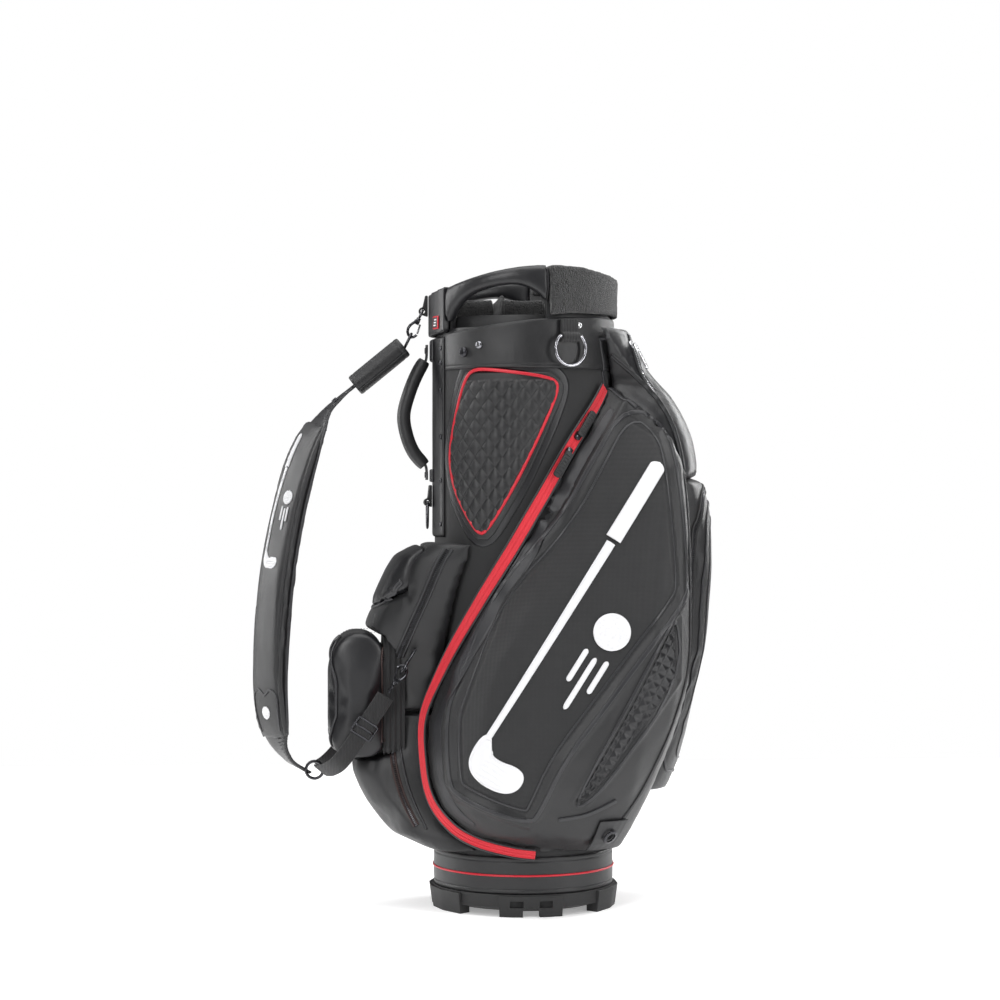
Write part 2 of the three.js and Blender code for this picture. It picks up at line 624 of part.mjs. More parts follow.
// ---------------------------------------------------------------- grab handle
const handlePath = [vec(-132, 0, 766), vec(-147, 0, 741), vec(-159, 0, 712), vec(-166.5, 0, 682),
  vec(-163, 0, 655), vec(-153, 0, 630), vec(-136, 0, 610)];
const HANDLE_R = 10;
const PLATE_FACE = SKIN_R + COLLAR_WALL + GAP;
const TAB_FACE = PLATE_FACE + 4.4;
const HANDLE_PIVOT = TAB_FACE + 2.6;
const handleRoom = turned([[0, 560], [HANDLE_PIVOT, 560], [HANDLE_PIVOT, 800], [0, 800], [0, 560]], 48);
add('grab_handle', cut(bar(handlePath, HANDLE_R, 14, 5), handleRoom), leather);
function handleTab(low, high, steps = 3) {
  return arcWall(-98, -82, PLATE_FACE + GAP, TAB_FACE, level(low), level(high), steps);
}
add('handle_tab_top', handleTab(756, 786), leather);
add('handle_tab_bottom', handleTab(588, 606), leather);

// ---------------------------------------------------------------- umbrella holder
// Webbing folded round a ring: a plate on the bag with a rounded loop below it.
function loopTab(wide, low, high, inner, loopX, loopZ, loopR) {
  const shape = new THREE.Shape();
  shape.moveTo(inner, high);
  shape.lineTo(inner, low);
  shape.lineTo(loopX, loopZ - loopR);
  shape.absarc(loopX, loopZ, loopR, -Math.PI / 2, Math.PI / 2, false);
  shape.lineTo(inner + 4, high);
  const hole = new THREE.Path().absarc(loopX - 0.4, loopZ, loopR - 2.4, 0, 2 * Math.PI * 0.999, false);
  shape.holes.push(hole);
  const geometry = new THREE.ExtrudeGeometry(shape, { depth: wide, curveSegments: 5, bevelEnabled: false });
  return toGeometry(outward(geometry.rotateX(Math.PI / 2).translate(0, wide / 2, 0)));
}
const UMBRELLA = { x: PLATE_FACE + 6.5, z: 560 };
add('umbrella_tab', loopTab(26, 553, 584, PLATE_FACE + 0.4, UMBRELLA.x, UMBRELLA.z, 5.5)
  .rotateZ(Math.PI), fabric);

// D-shaped ring: a straight bar in the webbing and a round bow below it.
function dRing(half, drop, wire) {
  const bow = [];
  for (let i = 0; i <= 8; i += 1) {
    const turn = -Math.PI * i / 8;
    bow.push(vec(0, half * Math.cos(turn), -wire + drop * Math.sin(turn)));
  }
  const curve = bar([vec(0, half, wire), ...bow, vec(0, -half, wire)], wire, 12, 3);
  const rod = new THREE.CylinderGeometry(wire * 0.95, wire * 0.95, 2 * half, 8);
  return join(curve, toGeometry(outward(rod)));
}
add('umbrella_ring', dRing(15, 34, 1.8).translate(-UMBRELLA.x, 0, UMBRELLA.z), blackMetal);

// ---------------------------------------------------------------- towel ring, studs, grommet
const TOWEL = { angle: 23.5, z: 784, radius: PLATE_FACE };
const nearPlace = (geometry, angle, radius, z) =>
  geometry.clone().rotateZ((angle - 90) * DEG).translate(...polar(angle, radius, z).toArray());
const towelLoop = loopTab(27, 776, 808, 0.4, 6.6, TOWEL.z, 5.4);
add('towel_tab', nearPlace(towelLoop, TOWEL.angle, TOWEL.radius, 0), fabric);
add('towel_ring', nearPlace(dRing(25, 42, 2.2), TOWEL.angle, TOWEL.radius + 6.6, TOWEL.z), steel);
const studProfile = [[0, 0], [4.6, 0], [4.6, 1.2], [2.6, 2.6], [0, 2.6]];
const stud = (scale) => turned(studProfile.map(([r, h]) => [r * scale, h * scale]), 16).rotateY(Math.PI / 2);
add('eyelet_stud', nearPlace(stud(1.5), -44.5, PLATE_FACE + 0.3, 764), steel);
add('button_stud', nearPlace(stud(1.1), -33, PLATE_FACE + 0.3, 773), blackMetal);

const GROMMET = { angle: 37, half: 7.6, z: 112, low: 90, high: 133, inner: 7, outer: 11, lift: 1.2 };
const eyeletProfile = [[GROMMET.inner, 0], [GROMMET.outer, 0], [GROMMET.outer, 1.6], [GROMMET.inner, 2.4],
  [GROMMET.inner, 0]];
const grommetSkin = (angle, z) => pocketRadius(angle, z) + GROMMET.lift;
const slopeStep = 8;
const [grommetBelow, grommetAbove] = [-slopeStep, slopeStep]
  .map((step) => grommetSkin(GROMMET.angle, GROMMET.z + step));
const grommetSlope = (grommetAbove - grommetBelow) / (2 * slopeStep);
const grommetNormal = polar(GROMMET.angle, 1, -grommetSlope).normalize();
const grommetCentre = polar(GROMMET.angle, grommetSkin(GROMMET.angle, GROMMET.z), GROMMET.z);
const onGrommet = (geometry, lift) => aimed(geometry, grommetNormal,
  grommetCentre.clone().addScaledVector(grommetNormal, lift));
const grommetTab = bentBlock(4, 5, 1, (u, v, w) => {
  const z = mix(GROMMET.low, GROMMET.high, v);
  const angle = GROMMET.angle + (2 * u - 1) * GROMMET.half;
  return polar(angle, grommetSkin(angle, z) + 3 * w, z);
});
const grommetHole = new THREE.CylinderGeometry(GROMMET.inner + GAP, GROMMET.inner + GAP, 30, 16)
  .rotateX(Math.PI / 2);
add('grommet_tab', cut(grommetTab, onGrommet(outwardGeometry(grommetHole), 0)), leather);
add('grommet_eyelet', onGrommet(turned(eyeletProfile, 20), 4.2), steel);

// ---------------------------------------------------------------- carrying strap: top fittings
const STRAP_TAB = { x: 141, z: 826 };
add('strap_tab', loopTab(9, 818, 848, CUFF_R + GAP, STRAP_TAB.x, STRAP_TAB.z, 5.6).rotateZ(Math.PI), leather);

// A snap hook, hanging down local -Z from the eye's rod: an eye, a J-shaped hook and a spring gate.
const HOOK_WIRE = 2.2;
const HOOK_BEND = 40;
const GATE = { top: [5.2, -18], tip: [7.2, -31.5] };
function snapHook() {
  const eye = dRing(8, 8, 1.8);
  const stem = new THREE.CylinderGeometry(3.2, 3.2, 5, 10).rotateX(Math.PI / 2).translate(0, 0, -13.2);
  const head = block(-4.5, 3.4, -2.6, 2.6, -20, -14.5);
  const hook = bar([vec(-2, 0, -17), vec(-6.5, 0, -24), vec(-7, 0, -33), vec(0, 0, -HOOK_BEND),
    vec(6.6, 0, -35.5), vec(7.2, 0, -33.2)], HOOK_WIRE, 8, 3);
  return join(eye, outwardGeometry(stem), outwardGeometry(head), hook);
}
const snapGate = () => bar([vec(GATE.top[0], 0, GATE.top[1]), vec(GATE.tip[0], 0, GATE.tip[1])], 1.5, 1, 3);

const UP = vec(0, 0, 1);
function hung(geometry, from, to) {
  const turn = new THREE.Quaternion().setFromUnitVectors(UP, from.clone().sub(to).normalize());
  return geometry.clone().applyQuaternion(turn).translate(from.x, from.y, from.z);
}
const hookFrom = vec(-STRAP_TAB.x, 0, STRAP_TAB.z);
const ringCentre = vec(-163, 0, 781);
add('snap_hook', hung(snapHook(), hookFrom, ringCentre), blackMetal);
add('snap_gate', hung(snapGate(), hookFrom, ringCentre), steel);
const STRAP_RING_R = 11;
const ringDrop = HOOK_BEND - 2 * HOOK_WIRE - 0.5 + STRAP_RING_R;
add('strap_ring', hung(new THREE.TorusGeometry(STRAP_RING_R, HOOK_WIRE, 6, 20).rotateY(Math.PI / 2)
  .translate(0, 0, -ringDrop), hookFrom, ringCentre), blackMetal);

// ---------------------------------------------------------------- carrying strap: sleeve, pad and yokes
const ringLow = hookFrom.clone().addScaledVector(ringCentre.clone().sub(hookFrom).normalize(),
  ringDrop + STRAP_RING_R);
const SLEEVE = { end: vec(-235, 0, 722), r: 16, back: 9 };
function makeSleeve() {
  const start = ringLow;
  const along = SLEEVE.end.clone().sub(start).normalize();
  const from = start.clone().addScaledVector(along, SLEEVE.back);
  const body = new THREE.CylinderGeometry(SLEEVE.r, SLEEVE.r, from.distanceTo(SLEEVE.end), 16)
    .rotateX(Math.PI / 2).scale(1, 0.95, 1);
  const roll = aimed(outwardGeometry(body), along, from.clone().lerp(SLEEVE.end, 0.5));
  const eye = new THREE.CylinderGeometry(6, 6, 6, 12);
  const bridge = aimed(outwardGeometry(block(-2.2, 2.2, -3, 3, 4.6, 14)), along, start);
  const hole = new THREE.CylinderGeometry(HOOK_WIRE + 1.3, HOOK_WIRE + 1.3, 30, 12);
  const ring = cut(outwardGeometry(eye), outwardGeometry(hole)).translate(start.x, start.y, start.z);
  return join(roll, ring, bridge);
}
add('strap_sleeve', makeSleeve(), leather);

const strapCurve = new THREE.CatmullRomCurve3([vec(-239, 0, 719), vec(-258, -1, 703), vec(-279, -3, 680),
  vec(-303, -5, 630), vec(-325, -6, 556), vec(-342, -8, 465), vec(-350, -8, 375), vec(-351, -8, 295),
  vec(-344, -8, 235), vec(-328, -8, 205), vec(-306, -8, 190)]);
const stretch = (from, to, count = 9) =>
  Array.from({ length: count }, (_, i) => strapCurve.getPointAt(mix(from, to, i / (count - 1))));
const twistAt = through([[0, 0], [0.1, -18], [0.25, -33], [0.85, -33], [0.95, -20], [1, -8]]);
const strapSide = (from, to) => (t) => {
  const twist = twistAt(mix(from, to, t)) * DEG;
  return vec(Math.sin(twist), Math.cos(twist), 0);
};
const UPPER_YOKE_END = 0.108;       // shares of the strap's length
const PAD_FROM = 0.116;
const PAD_TO = 0.900;
const LOWER_YOKE_FROM = 0.911;
const YOKE_THICK = 5;
const padWide = through([[0, 74], [0.1, 79], [0.9, 79], [1, 70]]);
const padThick = through([[0, 10], [0.06, 19], [0.94, 19], [1, 10]]);
add('upper_yoke', strip(stretch(0, UPPER_YOKE_END, 5), 8, through([[0, 38], [0.6, 40], [1, 74]]),
  level(YOKE_THICK), strapSide(0, UPPER_YOKE_END)), leather);
add('shoulder_pad', strip(stretch(PAD_FROM, PAD_TO), 18, padWide, padThick, strapSide(PAD_FROM, PAD_TO),
  0.35), leather);
add('lower_yoke', strip(stretch(LOWER_YOKE_FROM, 1, 5), 8, through([[0, 68], [0.6, 34], [1, 26]]),
  level(YOKE_THICK), strapSide(LOWER_YOKE_FROM, 1)), leather);

// ---------------------------------------------------------------- carrying strap: split ring and legs
const SPLIT_RING = { x: -291, y: -8, z: 189, r: 12, wire: 2.2, tilt: 35 };
add('split_ring', new THREE.TorusGeometry(SPLIT_RING.r, SPLIT_RING.wire, 6, 20).rotateX(Math.PI / 2)
  .rotateY(SPLIT_RING.tilt * DEG).translate(SPLIT_RING.x, SPLIT_RING.y, SPLIT_RING.z), blackMetal);
const LEG_WIDE = 25;
const LEG_THICK = 2.6;
const FAR_LEG_SHIFT = -6;           // the strap hangs towards the near side, so the far leg starts closer in
const legPoints = [vec(-283, -18, 189), vec(-272, -47, 193), vec(-256, -73, 207), vec(-232, -78, 240),
  vec(-208, -79, 276), vec(-195, -79, 296)];
const legSide = vec(0.72, 0.2, -0.62);
const webbingLeg = (shift) => strip(legPoints.map((p) => vec(p.x, p.y + shift, p.z)), 14,
  level(LEG_WIDE), level(LEG_THICK), () => legSide);
// The lower hooks are the same, with the gate closed, and hold a loop on the bottle pocket's side.
const LEG_HOOK = { from: vec(-190, -79, 303), to: vec(-163, -79, 346) };
const closedGate = bar([vec(3, 0, -18), vec(7.2, 0, -34)], 1.5, 1, 3);
const hookNear = hung(join(snapHook(), closedGate), LEG_HOOK.from, LEG_HOOK.to);
const loopAlong = LEG_HOOK.to.clone().sub(LEG_HOOK.from).normalize();
const loopCentre = LEG_HOOK.from.clone().addScaledVector(loopAlong, HOOK_BEND - 8.5);
// Webbing loop: a plate on the pocket's side and a band of cloth through the hook.
function makeAnchorTab() {
  const middle = loopCentre.clone().addScaledVector(loopAlong, 24);
  const eye = new THREE.TorusGeometry(11, 1.8, 6, 20).rotateY(Math.PI / 2);
  const ring = hung(eye, loopCentre.clone().addScaledVector(loopAlong, 8), loopCentre);
  const plate = aimed(outwardGeometry(block(-1.4, 1.4, -9, 9, -12, 12)), loopAlong, middle);
  return join(ring, plate);
}
const anchorTab = makeAnchorTab();
const sides = [['near', 0, (geometry) => geometry], ['far', FAR_LEG_SHIFT, mirrorY]];
for (const [side, shift, place] of sides) {
  add(`leg_${side}`, place(webbingLeg(shift)), fabric);
  add(`hook_${side}`, place(hookNear), blackMetal);
  add(`anchor_ring_${side}`, place(anchorTab), blackMetal);
}

// ---------------------------------------------------------------- zip slider of the upper +X pocket
const SIDE_ZIP = { angle: 72, radius: 155.5, z: 770, fall: 0.45, slope: 0.893 };
const sideFrame = {
  at: polar(SIDE_ZIP.angle, SIDE_ZIP.radius, SIDE_ZIP.z),
  along: polar(SIDE_ZIP.angle, SIDE_ZIP.fall, -SIDE_ZIP.slope),
  out: polar(SIDE_ZIP.angle, SIDE_ZIP.slope, SIDE_ZIP.fall),
};
sideFrame.across = sideFrame.along.clone().cross(sideFrame.out);
add('slider_side', placed(sliderPlate, sideFrame, 2.6, -8), steel);
add('puller_side', placed(pullerPlate, sideFrame, 6.9, 12), steel);

export default bag;
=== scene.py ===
# Golf staff bag: looks, in Blender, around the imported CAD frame. Lengths are metres, +Z up.
import math

import bmesh
import bpy
import numpy as np
from mathutils import Matrix, Vector, noise
from mathutils.bvhtree import BVHTree


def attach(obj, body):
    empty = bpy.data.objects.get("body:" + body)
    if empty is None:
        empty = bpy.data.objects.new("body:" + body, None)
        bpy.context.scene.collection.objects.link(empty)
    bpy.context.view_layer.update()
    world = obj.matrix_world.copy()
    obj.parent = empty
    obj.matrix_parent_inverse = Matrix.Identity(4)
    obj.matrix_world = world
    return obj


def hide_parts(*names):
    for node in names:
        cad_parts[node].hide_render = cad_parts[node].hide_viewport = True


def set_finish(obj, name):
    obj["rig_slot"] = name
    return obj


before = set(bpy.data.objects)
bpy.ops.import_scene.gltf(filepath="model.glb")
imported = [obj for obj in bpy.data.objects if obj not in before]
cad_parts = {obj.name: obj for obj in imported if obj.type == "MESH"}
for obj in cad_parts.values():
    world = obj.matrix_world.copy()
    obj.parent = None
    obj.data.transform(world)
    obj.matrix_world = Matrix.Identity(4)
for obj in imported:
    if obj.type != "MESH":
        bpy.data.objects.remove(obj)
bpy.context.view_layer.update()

MM = 0.001
DEG = math.pi / 180

# ------------------------------------------------------------------ the view
BACK = Vector((-0.0802, -0.9968, 0.0))       # from the bag towards the camera
RIGHT = Vector((0.9968, -0.0802, 0.0))
CAMERA_DISTANCE = 3.408
CAMERA_SIDE = -0.0324
CAMERA_HEIGHT = 0.563
LENS_MM = 87.7

camera_data = bpy.data.cameras.new("camera")
camera_data.lens = LENS_MM
camera_data.sensor_width = 36.0
camera = bpy.data.objects.new("camera", camera_data)
camera.location = BACK * CAMERA_DISTANCE + RIGHT * CAMERA_SIDE + Vector((0, 0, CAMERA_HEIGHT))
camera.rotation_euler = (-BACK).to_track_quat("-Z", "Y").to_euler()
bpy.context.scene.collection.objects.link(camera)
bpy.context.scene.camera = camera


# ------------------------------------------------------------------ materials
def new_material(name):
    material = bpy.data.materials.new(name)
    material.use_nodes = True
    nodes = material.node_tree.nodes
    shader = nodes["Principled BSDF"]
    place = nodes.new("ShaderNodeTexCoord")
    return material, nodes, material.node_tree.links, shader, place


def grained(name, color, roughness=(0.4, 0.6), cell=900.0, bump=0.25, depth=0.0002, patch=0.18,
            sheen=0.0, metallic=0.0, coat=0.0, fine=2600.0):
    """Leather, moulded plastic or rubber: cells of grain, fine pores and slow variation of tone."""
    material, nodes, links, shader, place = new_material(name)
    cells = nodes.new("ShaderNodeTexVoronoi")
    cells.feature = "DISTANCE_TO_EDGE"
    cells.inputs["Scale"].default_value = cell
    pores = nodes.new("ShaderNodeTexNoise")
    pores.inputs["Scale"].default_value = fine
    pores.inputs["Detail"].default_value = 3.0
    clouds = nodes.new("ShaderNodeTexNoise")
    clouds.inputs["Scale"].default_value = 14.0
    clouds.inputs["Detail"].default_value = 4.0
    for texture in (cells, pores, clouds):
        links.new(place.outputs["Object"], texture.inputs["Vector"])
    ridge = nodes.new("ShaderNodeMapRange")
    ridge.inputs["From Max"].default_value = 0.25
    links.new(cells.outputs["Distance"], ridge.inputs["Value"])
    height = nodes.new("ShaderNodeMath")
    height.operation = "MULTIPLY_ADD"
    height.inputs[1].default_value = 0.35
    links.new(pores.outputs["Fac"], height.inputs[0])
    links.new(ridge.outputs["Result"], height.inputs[2])
    relief = nodes.new("ShaderNodeBump")
    relief.inputs["Strength"].default_value = bump
    relief.inputs["Distance"].default_value = depth
    links.new(height.outputs["Value"], relief.inputs["Height"])
    links.new(relief.outputs["Normal"], shader.inputs["Normal"])
    tone = nodes.new("ShaderNodeMix")
    tone.data_type = "RGBA"
    tone.inputs["A"].default_value = (*[c * (1 - patch) for c in color], 1)
    tone.inputs["B"].default_value = (*[min(1, c * (1 + patch) + 0.002) for c in color], 1)
    links.new(clouds.outputs["Fac"], tone.inputs["Factor"])
    links.new(tone.outputs["Result"], shader.inputs["Base Color"])
    gloss = nodes.new("ShaderNodeMapRange")
    gloss.inputs["From Min"].default_value = 0.25
    gloss.inputs["From Max"].default_value = 0.75
    gloss.inputs["To Min"].default_value = roughness[0]
    gloss.inputs["To Max"].default_value = roughness[1]
    links.new(clouds.outputs["Fac"], gloss.inputs["Value"])
    links.new(gloss.outputs["Result"], shader.inputs["Roughness"])
    shader.inputs["Metallic"].default_value = metallic
    shader.inputs["Sheen Weight"].default_value = sheen
    shader.inputs["Coat Weight"].default_value = coat
    return material


def woven(name, color, pitch=1.0, bump=0.5, roughness=(0.65, 0.85), sheen=0.15, across=(1.0, 1.0),
          thread=0.35, depth=0.0003):
    """Cloth: two sets of threads, `pitch` millimetres apart; painted shade and highlight follow the weave,
    darker in its hollows and lighter on its crowns.
    """
    material, nodes, links, shader, place = new_material(name)
    waves = []
    for direction, share in (("X", across[0]), ("Z", across[1])):
        wave = nodes.new("ShaderNodeTexWave")
        wave.bands_direction = direction
        wave.inputs["Scale"].default_value = 314.0 * share / pitch
        wave.inputs["Distortion"].default_value = 0.6
        wave.inputs["Detail"].default_value = 1.0
        links.new(place.outputs["Object"], wave.inputs["Vector"])
        waves.append(wave)
    weave = nodes.new("ShaderNodeMath")
    weave.operation = "ADD"
    links.new(waves[0].outputs["Fac"], weave.inputs[0])
    links.new(waves[1].outputs["Fac"], weave.inputs[1])
    clouds = nodes.new("ShaderNodeTexNoise")
    clouds.inputs["Scale"].default_value = 30.0
    clouds.inputs["Detail"].default_value = 5.0
    links.new(place.outputs["Object"], clouds.inputs["Vector"])
    relief = nodes.new("ShaderNodeBump")
    relief.inputs["Strength"].default_value = bump
    relief.inputs["Distance"].default_value = depth
    links.new(weave.outputs["Value"], relief.inputs["Height"])
    links.new(relief.outputs["Normal"], shader.inputs["Normal"])
    # Painted shade and highlight: the weave height that drives the bump also scales the colour from 1 -
    # thread to 1 + thread.
    shade = nodes.new("ShaderNodeMapRange")
    shade.inputs["From Max"].default_value = 2.0
    shade.inputs["To Min"].default_value = 1 - thread
    shade.inputs["To Max"].default_value = 1 + thread
    links.new(weave.outputs["Value"], shade.inputs["Value"])
    tone = nodes.new("ShaderNodeMix")
    tone.data_type = "RGBA"
    tone.inputs["A"].default_value = (*[c * 0.85 for c in color], 1)
    tone.inputs["B"].default_value = (*[min(1, c * 1.15 + 0.002) for c in color], 1)
    links.new(clouds.outputs["Fac"], tone.inputs["Factor"])
    lit = nodes.new("ShaderNodeVectorMath")
    lit.operation = "SCALE"
    links.new(tone.outputs["Result"], lit.inputs[0])
    links.new(shade.outputs["Result"], lit.inputs["Scale"])
    links.new(lit.outputs["Vector"], shader.inputs["Base Color"])
    gloss = nodes.new("ShaderNodeMapRange")
    gloss.inputs["To Min"].default_value = roughness[0]
    gloss.inputs["To Max"].default_value = roughness[1]
    links.new(clouds.outputs["Fac"], gloss.inputs["Value"])
    links.new(gloss.outputs["Result"], shader.inputs["Roughness"])
    shader.inputs["Sheen Weight"].default_value = sheen
    return material


BLACK = (0.0075, 0.0075, 0.0085)

LEATHER = grained("leather_black", BLACK, (0.34, 0.5), cell=700, bump=0.32, depth=0.0003, sheen=0.05)
SMOOTH_LEATHER = grained("leather_smooth", (0.009, 0.009, 0.0105), (0.32, 0.46), cell=1500, bump=0.16,
                         depth=0.0002)
# Lighter copy of the black leather for raised edges, ridges, welts and pipings: painted highlight where
# these edges catch the light.
EDGE_LEATHER_PAINTED_HIGHLIGHT = grained("leather_edge", (0.02, 0.02, 0.0225), (0.28, 0.4), cell=1200, bump=0.2, depth=0.0002)
BALLISTIC = woven("ballistic_weave", (0.0085, 0.0085, 0.0095), pitch=1.7, bump=0.7, depth=0.0004)
TUBE_CLOTH = woven("tube_cloth", (0.006, 0.006, 0.0068), pitch=0.9, bump=0.4)
WEBBING = woven("webbing", (0.008, 0.008, 0.009), pitch=1.4, bump=0.9, across=(0.35, 1.6), depth=0.0005)
FLEECE = grained("fleece", (0.004, 0.004, 0.0045), (0.9, 1.0), cell=420, bump=1.0, depth=0.0016, patch=0.4,
                 sheen=0.35, fine=1400)
RED_TAPE = woven("red_tape", (0.6, 0.008, 0.022), pitch=0.8, bump=0.5, roughness=(0.45, 0.6), thread=0.12)
RED_PIPING = grained("red_piping", (0.5, 0.006, 0.02), (0.3, 0.42), cell=1600, bump=0.15)
WHITE = grained("white_applique", (0.7, 0.7, 0.715), (0.32, 0.45), cell=1400, bump=0.14, patch=0.03)
GUNMETAL = grained("gunmetal", (0.28, 0.28, 0.3), (0.18, 0.32), cell=300, bump=0.05, metallic=1.0,
                   patch=0.1)
BRIGHT_METAL = grained("bright_metal", (0.62, 0.62, 0.64), (0.14, 0.26), cell=300, bump=0.04, metallic=1.0,
                       patch=0.06)
BLACK_METAL = grained("black_metal", (0.035, 0.035, 0.04), (0.2, 0.34), cell=320, bump=0.06, metallic=0.9,
                      coat=0.3)
RUBBER = grained("moulded_rubber", (0.008, 0.008, 0.0085), (0.5, 0.68), cell=1100, bump=0.35, depth=0.0003)
PLASTIC = grained("moulded_plastic", (0.009, 0.009, 0.01), (0.42, 0.56), cell=1300, bump=0.25)
THREAD = grained("thread", (0.022, 0.022, 0.025), (0.5, 0.6), cell=2400, bump=0.2)
# Lighter copy of the black leather for the border beside the zip: painted highlight where the strip catches
# the light.
BORDER_LEATHER_PAINTED_HIGHLIGHT = grained("leather_grey", (0.02, 0.02, 0.0225), (0.36, 0.5), cell=800, bump=0.3)
BROWN = grained("zip_brown", (0.035, 0.016, 0.014), (0.45, 0.6), cell=1800, bump=0.4, depth=0.0004)


# ------------------------------------------------------------------ mesh helpers
def publish(name, vertices, faces, material, slot, body="bag", replaces=(), smooth=True):
    """Make a mesh object, give it its material, record slot and body."""
    mesh = bpy.data.meshes.new(name)
    mesh.from_pydata([tuple(v) for v in vertices], [], faces)
    tidy = bmesh.new()
    tidy.from_mesh(mesh)
    bmesh.ops.remove_doubles(tidy, verts=tidy.verts, dist=1e-6)
    bmesh.ops.recalc_face_normals(tidy, faces=tidy.faces)
    tidy.to_mesh(mesh)
    tidy.free()
    piece = bpy.data.objects.new(name, mesh)
    bpy.context.scene.collection.objects.link(piece)
    return dress(piece, material, slot, body, replaces, smooth)


def dress(piece, material, slot, body="bag", replaces=(), smooth=True):
    piece.data.materials.clear()
    piece.data.materials.append(material)
    for polygon in piece.data.polygons:
        polygon.use_smooth = smooth
    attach(piece, body)
    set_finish(piece, slot)
    if replaces:
        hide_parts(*replaces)
    return piece


def grid_faces(rows, columns, close_rows=False, close_columns=False):
    """Quads over a grid of vertices numbered row by row."""
    faces = []
    for i in range(rows if close_rows else rows - 1):
        for j in range(columns if close_columns else columns - 1):
            a = i * columns + j
            b = i * columns + (j + 1) % columns
            c = ((i + 1) % rows) * columns + (j + 1) % columns
            d = ((i + 1) % rows) * columns + j
            faces.append((a, b, c, d))
    return faces


def swept(name, sections, material, slot, closed=False, **rest):
    """Skin over a list of closed cross-sections; the ends are capped unless the sweep is closed."""
    rows, columns = len(sections), len(sections[0])
    vertices = [point for section in sections for point in section]
    faces = grid_faces(rows, columns, close_rows=closed, close_columns=True)
    if not closed:
        faces.append(tuple(range(columns)))
        faces.append(tuple((rows - 1) * columns + j for j in range(columns)))
    return publish(name, vertices, faces, material, slot, **rest)


def smooth_line(points, count, closed=False):
    """Evenly spaced points on a Catmull-Rom curve through `points`."""
    points = [Vector(p) for p in points]
    n = len(points)
    dense = []
    for i in range(n if closed else n - 1):
        near = [points[(i + k) % n] if closed else points[min(max(i + k, 0), n - 1)] for k in (-1, 0, 1, 2)]
        for k in range(16):
            t = k / 16
            dense.append(0.5 * ((2 * near[1]) + (near[2] - near[0]) * t
                                + (2 * near[0] - 5 * near[1] + 4 * near[2] - near[3]) * t * t
                                + (3 * near[1] - near[0] - 3 * near[2] + near[3]) * t ** 3))
    dense.append(points[0] if closed else points[-1])
    return evenly(dense, count, closed)


def evenly(dense, count, closed=False):
    lengths = [0.0]
    for a, b in zip(dense, dense[1:]):
        lengths.append(lengths[-1] + (b - a).length)
    result = []
    steps = count if closed else count - 1
    k = 0
    for i in range(count):
        target = lengths[-1] * i / steps
        while k < len(dense) - 2 and lengths[k + 1] < target:
            k += 1
        span = lengths[k + 1] - lengths[k] or 1.0
        result.append(dense[k].lerp(dense[k + 1], min(1.0, (target - lengths[k]) / span)))
    return result


def tangents(points, closed=False):
    n = len(points)
    result = []
    for i in range(n):
        before = points[(i - 1) % n] if closed else points[max(i - 1, 0)]
        after = points[(i + 1) % n] if closed else points[min(i + 1, n - 1)]
        result.append((after - before).normalized())
    return result


def cord_mesh(name, points, radius, material, slot, closed=False, sides=10, flat=1.0, normals=None, **rest):
    """A round cord or piping along points; `flat` squashes it along the normals."""
    along = tangents(points, closed)
    up = normals[0] if normals else along[0].orthogonal().normalized()
    sections = []
    for i, (point, t) in enumerate(zip(points, along)):
        up = normals[i] if normals else up
        up = (up - t * up.dot(t)).normalized()
        side = t.cross(up)
        ring = [point + side * (radius * math.cos(2 * math.pi * k / sides))
                + up * (radius * flat * math.sin(2 * math.pi * k / sides)) for k in range(sides)]
        sections.append(ring)
    return swept(name, sections, material, slot, closed=closed, **rest)


def band_mesh(name, points, normals, width, thickness, material, slot, profile=None, closed=False, lift=0.0,
              across=9, **rest):
    """A flat band lying on a surface: rounded edges, and a profile of extra height across it."""
    along = tangents(points, closed)
    sections = []
    for i, (point, normal, t) in enumerate(zip(points, normals, along)):
        wide = width(i / (len(points) - 1)) if callable(width) else width
        normal = (normal - t * normal.dot(t)).normalized()
        side = t.cross(normal)
        upper, lower = [], []
        for k in range(across):
            offset = 2 * k / (across - 1) - 1
            edge = math.sqrt(max(0.0, 1 - abs(offset) ** 6))
            extra = profile(offset) if profile else 0.0
            proud = lift + thickness * (0.35 + 0.65 * edge) + extra
            upper.append(point + side * (offset * wide / 2) + normal * proud)
            lower.append(point + side * (offset * wide / 2) + normal * lift)
        sections.append(upper + lower[::-1])
    return swept(name, sections, material, slot, closed=closed, **rest)


def stitches(name, points, normals, pitch=0.0042, body="bag", radius=0.00035):
    """A row of sewn stitches along a line on a surface."""
    total = sum((b - a).length for a, b in zip(points, points[1:]))
    count = max(2, int(total / pitch))
    spots = evenly(points, count + 1)
    vertices, faces = [], []
    for i in range(count):
        a, b = spots[i], spots[i + 1]
        middle = a.lerp(b, 0.5)
        near = min(range(0, len(points), max(1, len(points) // 60)),
                   key=lambda k: (points[k] - middle).length)
        normal = normals[near]
        t = (b - a).normalized()
        normal = (normal - t * normal.dot(t)).normalized()
        side = t.cross(normal)
        half = (b - a).length * 0.32
        base = len(vertices)
        vertices.append(middle - t * half)
        for shift in (-0.45, 0.45):
            for u, w in ((1, 0), (0, 1), (-1, 0), (0, -1)):
                vertices.append(middle + t * (half * 1.4 * shift) + side * (radius * u)
                                + normal * (radius * w))
        vertices.append(middle + t * half)
        for k in range(4):
            m = (k + 1) % 4
            faces.append((base, base + 1 + m, base + 1 + k))
            faces.append((base + 1 + k, base + 1 + m, base + 5 + m, base + 5 + k))
            faces.append((base + 9, base + 5 + k, base + 5 + m))
    return publish(name, vertices, faces, THREAD, "leather", body=body)


def mirrored(piece, name, replaces=()):
    """The same piece on the far side of the bag."""
    mesh = piece.data.copy()
    mesh.transform(Matrix.Diagonal((1, -1, 1, 1)))
    mesh.flip_normals()
    other = bpy.data.objects.new(name, mesh)
    bpy.context.scene.collection.objects.link(other)
    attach(other, "bag")
    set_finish(other, piece["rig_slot"])
    if replaces:
        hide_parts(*replaces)
    return other


